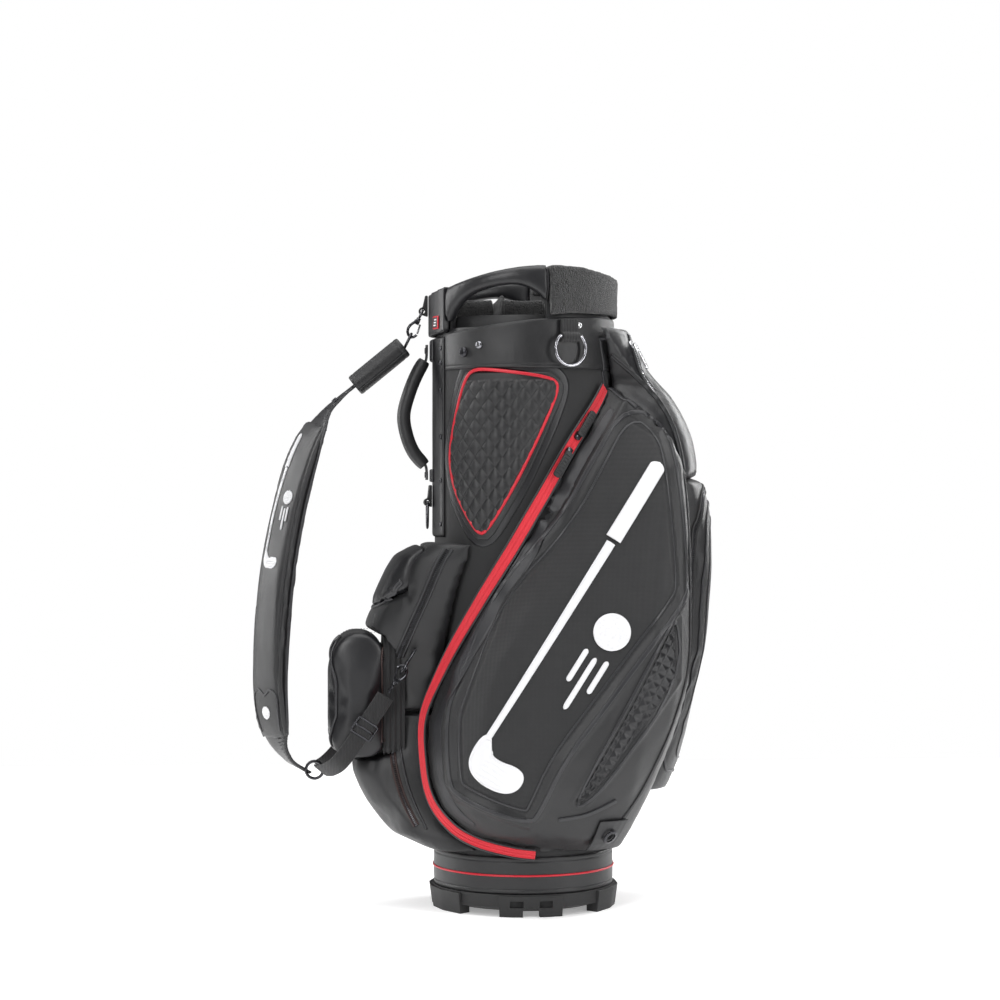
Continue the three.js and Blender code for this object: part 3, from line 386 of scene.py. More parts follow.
def slab(name, place, rows, columns, material, slot, closed=False, **rest):
    """A curved sheet with two sides: place(u, v) gives its outer and inner point, u and v from 0 to 1."""
    sections = []
    for i in range(rows):
        u = i / (rows if closed else rows - 1)
        pairs = [place(u, j / (columns - 1)) for j in range(columns)]
        sections.append([pair[0] for pair in pairs] + [pair[1] for pair in reversed(pairs)])
    return swept(name, sections, material, slot, closed=closed, **rest)


def around(degrees, radius, z):
    """A point on the tube: degrees run from the near side, -Y, towards +X; lengths in mm."""
    turn = degrees * DEG
    return Vector((radius * math.sin(turn), -radius * math.cos(turn), z)) * MM


def rounding(v, edge):
    """0 at the two ends of a 0..1 run and 1 inside, with a round shoulder `edge` long."""
    near = min(v, 1 - v) / edge
    return 1.0 if near >= 1 else math.sqrt(max(0.0, 1 - (1 - near) ** 2))


def wrap(name, angles, heights, radius, thickness, material, slot, relief=None, rows=120, columns=40,
         edge=0.08,
         **rest):
    """A band round the tube between two angles and two heights, each a number or a function."""
    full = not callable(angles[0]) and angles[1] - angles[0] >= 360

    def value(limit, u):
        return limit(u) if callable(limit) else limit

    def place(u, v):
        degrees = angles[0] + (angles[1] - angles[0]) * u
        z = value(heights[0], degrees) * (1 - v) + value(heights[1], degrees) * v
        shoulder = rounding(v, edge) * (1.0 if full else rounding(u, edge / 2))
        proud = thickness * (0.35 + 0.65 * shoulder) + (relief(degrees, z) if relief else 0.0)
        return around(degrees, radius + proud, z), around(degrees, radius, z)

    return slab(name, place, rows, columns, material, slot, closed=full, **rest)


def curve_through(pairs):
    """A smooth function through (input, output) pairs."""
    knots = [p[0] for p in pairs]
    values = [p[1] for p in pairs]

    def at(x):
        x = min(max(x, knots[0]), knots[-1])
        k = next(i for i in range(len(knots) - 1) if x <= knots[i + 1] or i == len(knots) - 2)
        span = knots[k + 1] - knots[k]
        t = (x - knots[k]) / span
        before = (values[k + 1] - values[max(k - 1, 0)]) / (knots[k + 1] - knots[max(k - 1, 0)]) * span
        last = min(k + 2, len(knots) - 1)
        after = (values[last] - values[k]) / (knots[last] - knots[k]) * span
        return ((2 * t ** 3 - 3 * t * t + 1) * values[k] + (t ** 3 - 2 * t * t + t) * before
                + (3 * t * t - 2 * t ** 3) * values[k + 1] + (t ** 3 - t * t) * after)

    return at


# ------------------------------------------------------------------ soft pieces from their CAD solids
def copy_of(node, name):
    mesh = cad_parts[node].data.copy()
    piece = bpy.data.objects.new(name, mesh)
    bpy.context.scene.collection.objects.link(piece)
    return piece


def modify(piece, kind, **settings):
    """Add one modifier, set it up and apply it."""
    modifier = piece.modifiers.new(kind.lower(), kind)
    for key, value in settings.items():
        setattr(modifier, key, value)
    bake(piece)


def bake(piece):
    shown = bpy.context.evaluated_depsgraph_get()
    mesh = bpy.data.meshes.new_from_object(piece.evaluated_get(shown))
    piece.modifiers.clear()
    piece.data = mesh


def coordinates(mesh):
    flat = np.zeros(len(mesh.vertices) * 3)
    mesh.vertices.foreach_get("co", flat)
    return flat.reshape(-1, 3)


def normals_of(mesh):
    flat = np.zeros(len(mesh.vertices) * 3, np.float32)
    mesh.vertex_normals.foreach_get("vector", flat)
    return flat.reshape(-1, 3).astype(float)


def move_vertices(mesh, where):
    mesh.vertices.foreach_set("co", where.astype(np.float32).ravel())
    mesh.update()


def billow(piece, cap, pressure=4.0, frames=20):
    """Blow the piece up like stuffed cloth; no vertex moves further than `cap` mm."""
    start = coordinates(piece.data)
    cloth = piece.modifiers.new("cloth", "CLOTH")
    cloth.settings.use_pressure = True
    cloth.settings.uniform_pressure_force = pressure
    cloth.settings.effector_weights.gravity = 0.0
    cloth.settings.quality = 4
    cloth.settings.tension_stiffness = 40
    cloth.settings.bending_stiffness = 3
    cloth.collision_settings.use_collision = False
    scene = bpy.context.scene
    for step in range(1, frames + 1):
        scene.frame_set(step)
    bake(piece)
    scene.frame_set(1)
    moved = coordinates(piece.data) - start
    length = np.linalg.norm(moved, axis=1, keepdims=True) + 1e-12
    move_vertices(piece.data, start + moved * np.minimum(1.0, cap * MM / length))
    modify(piece, "SMOOTH", factor=0.5, iterations=3)


def soft_copy(node, name, material, slot, voxel=5.0, cap=5.0, inset=1.5, relax=4, keep_off=None, body="bag",
              shape=None, levels=1):
    """A stuffed or moulded soft piece in the space of its CAD solid."""
    piece = copy_of(node, name)
    modify(piece, "REMESH", mode="VOXEL", voxel_size=voxel * MM)
    modify(piece, "SMOOTH", factor=0.5, iterations=relax)
    move_vertices(piece.data, coordinates(piece.data) - normals_of(piece.data) * inset * MM)
    if cap:
        billow(piece, cap)
    if levels:
        modify(piece, "SUBSURF", levels=levels, render_levels=levels)
    if keep_off:
        where = coordinates(piece.data)
        reach = np.hypot(where[:, 0], where[:, 1])
        short = reach < keep_off * MM
        where[short, :2] *= (keep_off * MM / reach[short])[:, None]
        move_vertices(piece.data, where)
    if shape:
        where = coordinates(piece.data)
        move_vertices(piece.data, where + normals_of(piece.data) * shape(where)[:, None] * MM)
    return dress(piece, material, slot, body, (node,))


def view_plane(where):
    """Each point's place across and up the view, in mm."""
    return where @ np.array(RIGHT) * 1000, where[:, 2] * 1000


def depth_inside(outline, across, up):
    """Distance in mm from an outline, above 0 inside it."""
    inside = np.zeros(len(across), bool)
    distance = np.full(len(across), 1e9)
    for (ax, ay), (bx, by) in zip(outline, outline[1:] + outline[:1]):
        ex, ey = bx - ax, by - ay
        t = np.clip(((across - ax) * ex + (up - ay) * ey) / (ex * ex + ey * ey), 0, 1)
        distance = np.minimum(distance, np.hypot(across - ax - t * ex, up - ay - t * ey))
        crosses = (ay > up) != (by > up)
        at = ax + (up - ay) * ex / (ey if ey else 1e-9)
        inside ^= crosses & (across < at)
    return np.where(inside, distance, -distance)


def smoothstep(x):
    x = np.clip(x, 0, 1)
    return x * x * (3 - 2 * x)


def ripples(where, size, seed):
    """Slow uneven noise from -1 to 1 over the points: folds and hand-made unevenness."""
    shift = Vector((seed * 7.3, seed * 3.1, seed * 5.7))
    return np.array([noise.noise(Vector(p) / (size * MM) + shift) for p in where])


# ------------------------------------------------------------------ hard parts kept from the CAD
HARD_PARTS = {
    "base_cup": RUBBER, "collar_frame": PLASTIC, "divider_grid": PLASTIC, "stay_near": BLACK_METAL,
    "stay_far": BLACK_METAL, "umbrella_ring": BLACK_METAL, "eyelet_stud": BLACK_METAL,
    "button_stud": GUNMETAL, "grommet_eyelet": BLACK_METAL, "snap_hook": BLACK_METAL,
    "snap_gate": BRIGHT_METAL,
    "strap_ring": BLACK_METAL, "split_ring": BLACK_METAL, "hook_near": BLACK_METAL, "hook_far": BLACK_METAL,
    "anchor_ring_near": BLACK_METAL, "anchor_ring_far": BLACK_METAL, "slider_near_upper": BLACK_METAL,
    "slider_near_lower": BLACK_METAL, "slider_side": BRIGHT_METAL, "puller_near_upper": PLASTIC,
    "puller_near_lower": PLASTIC, "puller_side": BRIGHT_METAL, "divider_walls": TUBE_CLOTH,
}
EDGE_WIDTH = {"base_cup": 1.2, "divider_grid": 1.4, "collar_frame": 0.8, "divider_walls": 0.5}


def keep_hard_part(node, material):
    """A rigid CAD part stays as it is; its sharp edges are eased and it gets its material."""
    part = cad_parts[node]
    part.data.materials.clear()
    part.data.materials.append(material)
    for polygon in part.data.polygons:
        polygon.use_smooth = True
    weld = part.modifiers.new("weld", "WELD")
    weld.merge_threshold = 1e-5
    bevel = part.modifiers.new("eased_edges", "BEVEL")
    bevel.width = EDGE_WIDTH.get(node, 0.25) * MM
    bevel.segments = 2
    bevel.angle_limit = 35 * DEG
    bevel.harden_normals = True


for part_name, part_material in HARD_PARTS.items():
    keep_hard_part(part_name, part_material)


# ------------------------------------------------------------------ tube, base band and collar
TUBE_R = 124.0
TUBE_TOP = 785.0
TUBE_FOOT = 46.0
TUBE_WALL = 2.6
BAND_R = 122.2
COLLAR_R = 124.4


def tube_place(u, v):
    degrees = 360 * u
    z = TUBE_FOOT + (TUBE_TOP - TUBE_FOOT) * v
    fold = 0.5 + 0.5 * noise.noise(Vector((math.sin(u * 2 * math.pi) * 2, math.cos(u * 2 * math.pi) * 2,
                                           z / 60)))
    foot = BAND_R - 0.6 if z < 83 else TUBE_R - 0.9 * fold
    return around(degrees, foot, z), around(degrees, foot - TUBE_WALL + 0.9 * fold, z)


slab("tube_cloth", tube_place, 220, 150, TUBE_CLOTH, "fabric", closed=True, replaces=("body_tube",))


def band_relief(degrees, z):
    """The base band: two sewn grooves, and a slight wave in the leather between them."""
    wave = 0.35 * noise.noise(Vector((math.sin(degrees * DEG) * 3, math.cos(degrees * DEG) * 3, z / 20)))
    grooves = sum(math.exp(-((z - at) / 0.9) ** 2) for at in (37.0, 75.0))
    return wave - 0.9 * grooves


wrap("base_band_leather", (0, 360), (31.0, 81.0), BAND_R, 2.7, LEATHER, "leather", relief=band_relief,
     rows=300,
     columns=60, replaces=("base_band",))
cord_mesh("base_band_piping", [around(a * 2, 125.2, 56) for a in range(180)], 1.5 * MM, RED_PIPING,
          "red_trim",
          closed=True, replaces=("base_piping",))
for seam_name, seam_z in (("base_stitch_low", 37.0), ("base_stitch_high", 75.0)):
    seam_line = [around(a * 2, 124.1, seam_z) for a in range(181)]
    stitches(seam_name, seam_line, [Vector((p.x, p.y, 0)).normalized() for p in seam_line], pitch=0.0038)


def cuff_low(degrees):
    """Height of the cuff's lower edge."""
    return 803.5 + 13 * math.sin(degrees * DEG) + 3 * math.cos(2 * degrees * DEG)



def collar_relief(degrees, z):
    wave = 0.5 * noise.noise(Vector((math.sin(degrees * DEG) * 4, math.cos(degrees * DEG) * 4, z / 25)))
    return wave - 0.8 * math.exp(-((z - 746) / 0.9) ** 2)


wrap("collar_leather", (-64, 244), (741.2, cuff_low), COLLAR_R, 2.6, LEATHER, "leather",
     relief=collar_relief,
     rows=320, columns=60, replaces=("collar_band",))
wrap("spine_leather", (-115, -65), (512.5, 787.5), COLLAR_R, 2.7, SMOOTH_LEATHER, "leather",
     relief=lambda degrees, z: 0.3 * noise.noise(Vector((degrees / 8, z / 30, 1.7)))
     - 0.7 * math.exp(-((abs(degrees + 90) - 22.5) / 0.35) ** 2),
     rows=90, columns=160, edge=0.02, replaces=("spine_panel",))

# ------------------------------------------------------------------ zip line between tube and pocket
ZIP_ANGLE = curve_through([(84, 5), (89, -10), (102, -30), (121, -44), (158, -56), (213, -60), (270, -61),
                           (330, -54), (425, -31), (496, -12), (560, 4.3), (645, 27.2), (718, 53.8),
                           (730, 58)])
ZIP_RADIUS = curve_through([(84, 128), (89, 133), (102, 144), (121, 152), (158, 160), (213, 165),
                            (270, 162),
                            (330, 146), (425, 134), (496, 130), (718, 128.5), (730, 128.5)])
ZIP_FOOT = 85
ZIP_TOP = 717


def zip_point(z):
    return around(ZIP_ANGLE(z), ZIP_RADIUS(z) + 1.2, z)


ZIP_LINE = evenly([zip_point(ZIP_FOOT + (ZIP_TOP - ZIP_FOOT) * k / 1200) for k in range(1201)], 420)
ZIP_OUT = [Vector((p.x, p.y, 0)).normalized() for p in ZIP_LINE]


def tape_width(t):
    return (11.5 + 4.5 * smoothstep(np.array(t / 0.45))) * MM


def tape_profile(offset):
    """Two woven tapes that meet over the coil: a groove in the middle and a fold along each side."""
    groove = 1.1 * math.exp(-(offset / 0.07) ** 2)
    fold = 0.7 * math.exp(-((abs(offset) - 0.82) / 0.1) ** 2)
    dip = 0.5 * math.exp(-((abs(offset) - 0.62) / 0.08) ** 2)
    return (fold - groove - dip) * MM


zip_tape = band_mesh("zip_tape_near", ZIP_LINE, ZIP_OUT, tape_width, 2.4 * MM, RED_TAPE, "red_trim",
                     profile=tape_profile, across=33, lift=-0.2 * MM, replaces=("zip_near",))
mirrored(zip_tape, "zip_tape_far", ("zip_far",))


# ------------------------------------------------------------------ apparel pockets
PANEL = [(142, 692), (192, 662), (205, 612), (220, 450), (211, 424), (158, 361), (103, 289), (48, 218),
         (17, 148), (4, 134), (-87, 169), (-98, 186), (-101, 272), (-87, 314), (-39, 440), (51, 533),
         (97, 617)]
INSET = [(206, 404), (206, 322), (122, 209), (82, 161), (67, 159), (143, 288), (196, 387)]
NEAR_FACE = -45.0


def pressed_panel(where):
    """The near face of the pocket: a moulded border, a sunk panel inside it, and a sunk quilted strip."""
    across, up = view_plane(where)
    facing = where[:, 1] * 1000 < NEAR_FACE
    panel = depth_inside(PANEL, across, up)
    inset = depth_inside(INSET, across, up)
    border = 2.8 * np.exp(-((panel + 5) / 4.5) ** 2)
    sunk = 4.4 * smoothstep(panel / 9) + 0.9 * np.exp(-((panel - 14) / 2.0) ** 2)
    rim = 2.0 * np.exp(-((inset + 4.5) / 3.0) ** 2) - 2.6 * smoothstep(inset / 5)
    uneven = 0.7 * ripples(where, 70, 1)
    return np.where(facing, border - sunk + rim, 0.0) + uneven


apparel = soft_copy("apparel_pocket_near", "apparel_shell_near", LEATHER, "leather", voxel=5.0, cap=2.5,
                    inset=1.2, keep_off=124.6, shape=pressed_panel)
apparel.data.materials.append(BALLISTIC)
centres = np.array([polygon.center for polygon in apparel.data.polygons])
centre_across, centre_up = view_plane(centres)
in_panel = depth_inside(PANEL, centre_across, centre_up) > 9
for polygon, woven_face, centre in zip(apparel.data.polygons, in_panel, centres):
    polygon.material_index = int(woven_face and centre[1] * 1000 < NEAR_FACE)
mirrored(apparel, "apparel_shell_far", ("apparel_pocket_far",))

# ------------------------------------------------------------------ the other pockets
soft_copy("pocket_side_main", "side_pocket_main", LEATHER, "leather", cap=5.0, keep_off=124.6,
          shape=lambda where: 0.9 * ripples(where, 60, 2))
soft_copy("pocket_side_upper", "side_pocket_upper", SMOOTH_LEATHER, "leather", voxel=4.5, cap=3.0,
          keep_off=124.6,
          inset=1.0, shape=lambda where: 1.0 * ripples(where, 45, 3))
soft_copy("lower_pocket", "lower_pocket_leather", LEATHER, "leather", voxel=4.5, cap=4.0, keep_off=124.6,
          shape=lambda where: 1.0 * ripples(where, 45, 4))
soft_copy("bottle_pocket", "bottle_pocket_leather", LEATHER, "leather", voxel=4.5, cap=4.0, keep_off=127.6,
          shape=lambda where: 1.0 * ripples(where, 50, 5))
soft_copy("bottle_hood", "bottle_hood_leather", SMOOTH_LEATHER, "leather", voxel=4.0, cap=3.0, inset=1.0,
          shape=lambda where: 0.5 * ripples(where, 40, 6))
soft_copy("ball_pocket", "ball_pocket_leather", SMOOTH_LEATHER, "leather", voxel=4.5, cap=5.0, inset=1.5,
          shape=lambda where: 0.6 * ripples(where, 45, 7))


def ball_gusset():
    """A folded bellows of cloth that closes the space between the ball pocket and the bag."""
    sections = []
    for k in range(25):
        fold = 1.4 * math.cos(k * math.pi / 3)
        ring = []
        for j in range(96):
            turn = 2 * math.pi * j / 96
            y, z = [math.copysign(abs(c) ** 0.35, c) for c in (math.cos(turn), math.sin(turn))]
            ring.append(Vector((-197 + 29 * k / 24, (61 + fold) * y, 296 + (83 + fold) * z)) * MM)
        sections.append(ring)
    return swept("ball_gusset_cloth", sections, TUBE_CLOTH, "fabric", replaces=("ball_gusset",))


def divider_pad(name, start, end):
    """A fleece-covered pad on top of one bar of the divider grid, thinner at its ends."""
    start, end = Vector(start) * MM, Vector(end) * MM
    along = (end - start).normalized()
    side = Vector((-along.y, along.x, 0))
    sections = []
    for k in range(41):
        share = k / 40
        size = 0.3 + 0.7 * rounding(share, 0.08)
        ring = []
        for j in range(28):
            turn = 2 * math.pi * j / 28
            out, up = [math.copysign(abs(c) ** 0.7, c) for c in (math.cos(turn), math.sin(turn))]
            ring.append(start.lerp(end, share) + side * (4.2 * size * out * MM)
                        + Vector((0, 0, (16 * up - 1.5 * math.sin(math.pi * share)) * size * MM)))
        sections.append(ring)
    swept(name, sections, FLEECE, "fleece")


ball_gusset()
PAD_Z = 827.0
BAR_X = 36.0
for pad_name, pad_x in (("back", -BAR_X), ("front", BAR_X)):
    divider_pad("divider_pad_" + pad_name, (pad_x, -84, PAD_Z), (pad_x, 84, PAD_Z))
for pad_name, low_x, high_x in (("strap", -94, -42), ("middle", -30, 30), ("side", 42, 94)):
    divider_pad("divider_pad_" + pad_name, (low_x, 0, PAD_Z), (high_x, 0, PAD_Z))
soft_copy("collar_cap", "collar_cap_leather", SMOOTH_LEATHER, "leather", voxel=2.5, cap=0, inset=0.2,
          relax=3)
cuff = soft_copy("cuff_fleece", "cuff_pile", FLEECE, "fleece", voxel=3.0, cap=2.5, inset=1.2, relax=6,
                 shape=lambda where: 0.5 * ripples(where, 5, 8) + 0.9 * ripples(where, 30, 9))
for side_name in ("near", "far"):
    lift = soft_copy("lift_handle_" + side_name, "lift_handle_leather_" + side_name, SMOOTH_LEATHER,
                     "leather",
                     voxel=2.5, cap=0, inset=0.2, relax=5, shape=lambda where: 0.25 * ripples(where, 25, 10))


# ------------------------------------------------------------------ quilted panels
PANEL_LEFT = curve_through([(508, -34), (518, -39), (540, -47), (578, -57), (621, -61.5), (667, -57.5),
                            (717, -49),
                            (737, -43)])
PANEL_RIGHT = curve_through([(508, -28), (518, -23), (580, -6), (669, 13), (717, 21), (737, 12)])
QUILT_LOW, QUILT_HIGH = 508.6, 736.4
DIAMOND_WIDE, DIAMOND_TALL = 19.5, 27.0
QUILT_R = 124.6
FIELD_MARGIN = 10.0
PIPING_OUTLINE = [(-40, 737), (-30.8, 741), (11.9, 729), (17.6, 717), (8.8, 669), (-10.7, 580),
                  (-28.9, 516),
                  (-35.7, 521), (-53, 578), (-57.7, 621), (-53, 667), (-45.4, 717)]


def quilt_place(u, v):
    """Puffed diamonds in a plain border; the panel thins to its edge."""
    z = QUILT_LOW + (QUILT_HIGH - QUILT_LOW) * u
    left, right = PANEL_LEFT(z), PANEL_RIGHT(z)
    degrees = left + (right - left) * v
    arc = degrees * DEG * QUILT_R
    to_side = min(v, 1 - v) * (right - left) * DEG * QUILT_R
    to_edge = min(to_side, z - QUILT_LOW, QUILT_HIGH - z)
    one = arc / DIAMOND_WIDE + z / DIAMOND_TALL
    other = arc / DIAMOND_WIDE - z / DIAMOND_TALL
    puff = (abs(math.sin(math.pi * one)) * abs(math.sin(math.pi * other))) ** 0.42
    inner = float(smoothstep(np.array((to_edge - FIELD_MARGIN) / 4)))
    edge = rounding(min(0.5, to_edge / 40), 0.1)
    proud = 2.4 * edge + inner * (3.4 * puff - 0.4) + 0.4
    return around(degrees, QUILT_R + proud, z), around(degrees, QUILT_R, z)


quilt = slab("quilted_leather_near", quilt_place, 210, 150, LEATHER, "leather",
             replaces=("quilted_panel_near",))
mirrored(quilt, "quilted_leather_far", ("quilted_panel_far",))


# ------------------------------------------------------------------ lines drawn on the finished surfaces
class Skin:
    """The outer surface of finished pieces, for laying trims on."""

    def __init__(self, names):
        vertices, faces = [], []
        for name in names:
            mesh = bpy.data.objects[name].data
            base = len(vertices)
            vertices += [v.co.copy() for v in mesh.vertices]
            faces += [tuple(base + i for i in polygon.vertices) for polygon in mesh.polygons]
        self.tree = BVHTree.FromPolygons(vertices, faces)

    def hit(self, look, a, z):
        """Surface point and outward normal; `look` is near, strap, side or round, where a is in degrees."""
        if look == "near":
            start, way = RIGHT * (a * MM) + BACK + Vector((0, 0, z * MM)), -BACK
        elif look == "strap":
            start, way = Vector((-1, a * MM, z * MM)), Vector((1, 0, 0))
        elif look == "side":
            start, way = Vector((1, a * MM, z * MM)), Vector((-1, 0, 0))
        else:
            start = around(a, 600, z)
            way = Vector((-start.x, -start.y, 0)).normalized()
        point, normal, _, _ = self.tree.ray_cast(start, way)
        if point is None:
            return None
        return point, normal if normal.dot(way) < 0 else -normal

    def trace(self, look, points, count, closed=False, smooth=True):
        """Points and smoothed normals of a line on the surface."""
        flat = [Vector((a, z, 0)) for a, z in points]
        if smooth:
            flat = smooth_line(flat, count, closed)
        else:
            flat = evenly(flat + flat[:1] if closed else flat, count, closed)
        found = [self.hit(look, p.x, p.y) for p in flat]
        found = [f for f in found if f]
        spots = [f[0] for f in found]
        raw = [f[1] for f in found]
        n = len(raw)
        reach = range(-4, 5)
        normals = []
        for i in range(n):
            total = Vector()
            for k in reach:
                total += raw[(i + k) % n if closed else min(max(i + k, 0), n - 1)]
            normals.append(total.normalized())
        return spots, normals


def raised(points, normals, lift):
    """The points moved out along their normals by `lift` mm."""
    return [p + n * (lift * MM) for p, n in zip(points, normals)]


def piping(skin, name, look, points, radius, material, slot, count=160, closed=False, lift=0.5, smooth=True,
           far=None, **rest):
    """A piped edge; `far` names a mirrored copy."""
    spots, normals = skin.trace(look, points, count, closed, smooth)
    piece = cord_mesh(name, raised(spots, normals, lift * radius), radius * MM, material, slot,
                      closed=closed,
                      normals=normals, **rest)
    if far:
        mirrored(piece, far)
    return piece


def binding(skin, name, look, points, width, thickness, material, slot, count=160, closed=False,
            smooth=True,
            profile=None, lift=0.0, far=None, **rest):
    """A flat band along a line on the surface."""
    spots, normals = skin.trace(look, points, count, closed, smooth)
    wide = (lambda t: width(t) * MM) if callable(width) else width * MM
    piece = band_mesh(name, spots, normals, wide, thickness * MM, material, slot, profile=profile,
                      closed=closed,
                      lift=lift * MM, **rest)
    if far:
        mirrored(piece, far)
    return piece


def sewn(skin, name, look, points, count=200, closed=False, smooth=True, lift=0.2):
    """A row of stitches along a line on the surface."""
    spots, normals = skin.trace(look, points, count, closed, smooth)
    if closed:
        spots, normals = spots + spots[:1], normals + normals[:1]
    return stitches(name, raised(spots, normals, lift), normals, pitch=4.2 * MM)


def grown(outline, by):
    """An outline moved outwards by `by` mm, or inwards where it is below 0."""
    n = len(outline)
    following = outline[1:] + outline[:1]
    area = sum(a[0] * b[1] - b[0] * a[1] for a, b in zip(outline, following))
    turn = 1 if area > 0 else -1
    result = []
    for i in range(n):
        before = Vector(outline[i]) - Vector(outline[i - 1])
        after = Vector(outline[(i + 1) % n]) - Vector(outline[i])
        ahead = (before.normalized() + after.normalized()).normalized()
        side = Vector((ahead.y, -ahead.x)) * turn
        result.append(tuple(Vector(outline[i]) + side * by))
    return result


near_skin = Skin(["apparel_shell_near", "side_pocket_main", "side_pocket_upper", "tube_cloth",
                  "quilted_leather_near", "collar_leather", "spine_leather"])
strap_skin = Skin(["bottle_pocket_leather", "bottle_hood_leather", "lower_pocket_leather",
                   "ball_pocket_leather",
                   "spine_leather", "collar_cap_leather", "tube_cloth", "collar_leather"])


def rounded_corners(outline, share=0.28):
    """Cut each corner of a closed outline twice, which leaves it softly rounded."""
    for _ in range(2):
        n = len(outline)
        cut = []
        for i in range(n):
            a, b = Vector(outline[i]), Vector(outline[(i + 1) % n])
            cut += [tuple(a.lerp(b, share)), tuple(a.lerp(b, 1 - share))]
        outline = cut
    return outline


# Quilted panel: red piping, and a sewn line in the leather outside it
PIPED = rounded_corners(PIPING_OUTLINE, 0.22)
panel_skin = Skin(["tube_cloth"])
piping(panel_skin, "quilt_piping_near", "round", PIPED, 2.3, RED_PIPING, "red_trim", count=300, closed=True,
       lift=1.6, smooth=False, far="quilt_piping_far")
SKIN_MM_PER_DEGREE = 2.16
FLAT_PIPED = [(a * SKIN_MM_PER_DEGREE, z) for a, z in PIPED]
OUTER_SEAM = [(a / SKIN_MM_PER_DEGREE, z) for a, z in grown(FLAT_PIPED, 11)]
binding(panel_skin, "quilt_border_near", "round", OUTER_SEAM, 16, 1.3, SMOOTH_LEATHER, "leather", count=300,
        closed=True, smooth=False, far="quilt_border_far",
        profile=lambda offset: -0.9 * MM * math.exp(-((offset - 0.55) / 0.07) ** 2))

# Apparel pocket: raised edges of the pressed panel and of its quilted strip
ROUND_PANEL = rounded_corners(grown(PANEL, 4))
cuff_skin = Skin(["cuff_pile", "lift_handle_leather_near"])
binding(cuff_skin, "cuff_edge_near", "round", [(9.5, 874), (9.5, 850), (9.5, 830), (9.5, 814)], 8.0, 1.4,
        EDGE_LEATHER_PAINTED_HIGHLIGHT,
        "leather", count=80, far="cuff_edge_far", lift=0.2)
# The panel ridges take the lighter edge leather: painted highlight along the raised edges.
binding(near_skin, "panel_ridge_near", "near", ROUND_PANEL, 6.0, 1.5, EDGE_LEATHER_PAINTED_HIGHLIGHT, "leather", count=520,
        closed=True, smooth=False, far="panel_ridge_far", lift=-0.2)
binding(near_skin, "panel_inner_ridge_near", "near", rounded_corners(grown(PANEL, -13)), 3.0, 1.2,
        EDGE_LEATHER_PAINTED_HIGHLIGHT,
        "leather", count=520, closed=True, smooth=False, far="panel_inner_ridge_far", lift=-0.2)
binding(near_skin, "strip_ridge_near", "near", rounded_corners(grown(INSET, 5)), 4.0, 1.6, EDGE_LEATHER_PAINTED_HIGHLIGHT,
        "leather",
        count=320, closed=True, smooth=False, far="strip_ridge_far", lift=-0.2)
binding(near_skin, "strip_bar_near", "near", [(46, 137), (84, 144), (122, 161)], 5.5, 2.6, EDGE_LEATHER_PAINTED_HIGHLIGHT,
        "leather",
        count=60, far="strip_bar_far")

# Pressed pyramids in the strip
STRIP_LEFT = [(69, 162), (105, 222), (143, 288), (172, 342), (195, 386), (202, 400)]
STRIP_RIGHT = [(80, 163), (100, 183), (121, 211), (162, 265), (203, 322), (203, 400)]
PYRAMID = 13.0
PYRAMID_HEIGHT = 3.6


def pyramid_strip(name):
    rows, columns = 190, 56
    left = evenly([Vector((a, z, 0)) for a, z in STRIP_LEFT], rows)
    right = evenly([Vector((a, z, 0)) for a, z in STRIP_RIGHT], rows)
    along = Vector((0.5, 0.866, 0))
    across = Vector((0.866, -0.5, 0))
    vertices = []
    for a, b in zip(left, right):
        for j in range(columns):
            v = j / (columns - 1)
            flat = a.lerp(b, v)
            point, normal = near_skin.hit("near", flat.x, flat.y)
            shares = [abs((flat.dot(axis) / PYRAMID) % 1.0 - 0.5) * 2 for axis in (along, across)]
            height = PYRAMID_HEIGHT * (1 - max(shares)) * rounding(v, 0.12)
            vertices.append(point + normal * ((0.5 + height) * MM))
    under = [vertex - Vector((0, -1, 0)) * (1.5 * MM) for vertex in vertices]
    faces = grid_faces(rows, columns)
    total = len(vertices)
    faces += [tuple(total + i for i in reversed(face)) for face in grid_faces(rows, columns)]
    rim = ([j for j in range(columns)] + [i * columns + columns - 1 for i in range(1, rows)]
           + [(rows - 1) * columns + j for j in range(columns - 2, -1, -1)]
           + [i * columns for i in range(rows - 2, 0, -1)])
    for a, b in zip(rim, rim[1:] + rim[:1]):
        faces.append((a, b, total + b, total + a))
    return publish(name, vertices + under, faces, SMOOTH_LEATHER, "leather")


strip_near = pyramid_strip("pyramid_strip_near")
mirrored(strip_near, "pyramid_strip_far")

# ------------------------------------------------------------------ white motif: a golf club and ball
def band_on(place, name, points, width, thickness, count=160, body="bag", profile=None):
    """A band along a line drawn in the motif's own plane, laid on a surface by place(a, b)."""
    flat = smooth_line([Vector((a, b, 0)) for a, b in points], count)
    found = [place(p.x, p.y) for p in flat]
    wide = (lambda t: width(t) * MM) if callable(width) else width * MM
    return band_mesh(name, [f[0] for f in found], [f[1] for f in found], wide, thickness * MM, WHITE,
                     "white_applique", profile=profile, across=25, lift=0.2 * MM, body=body)


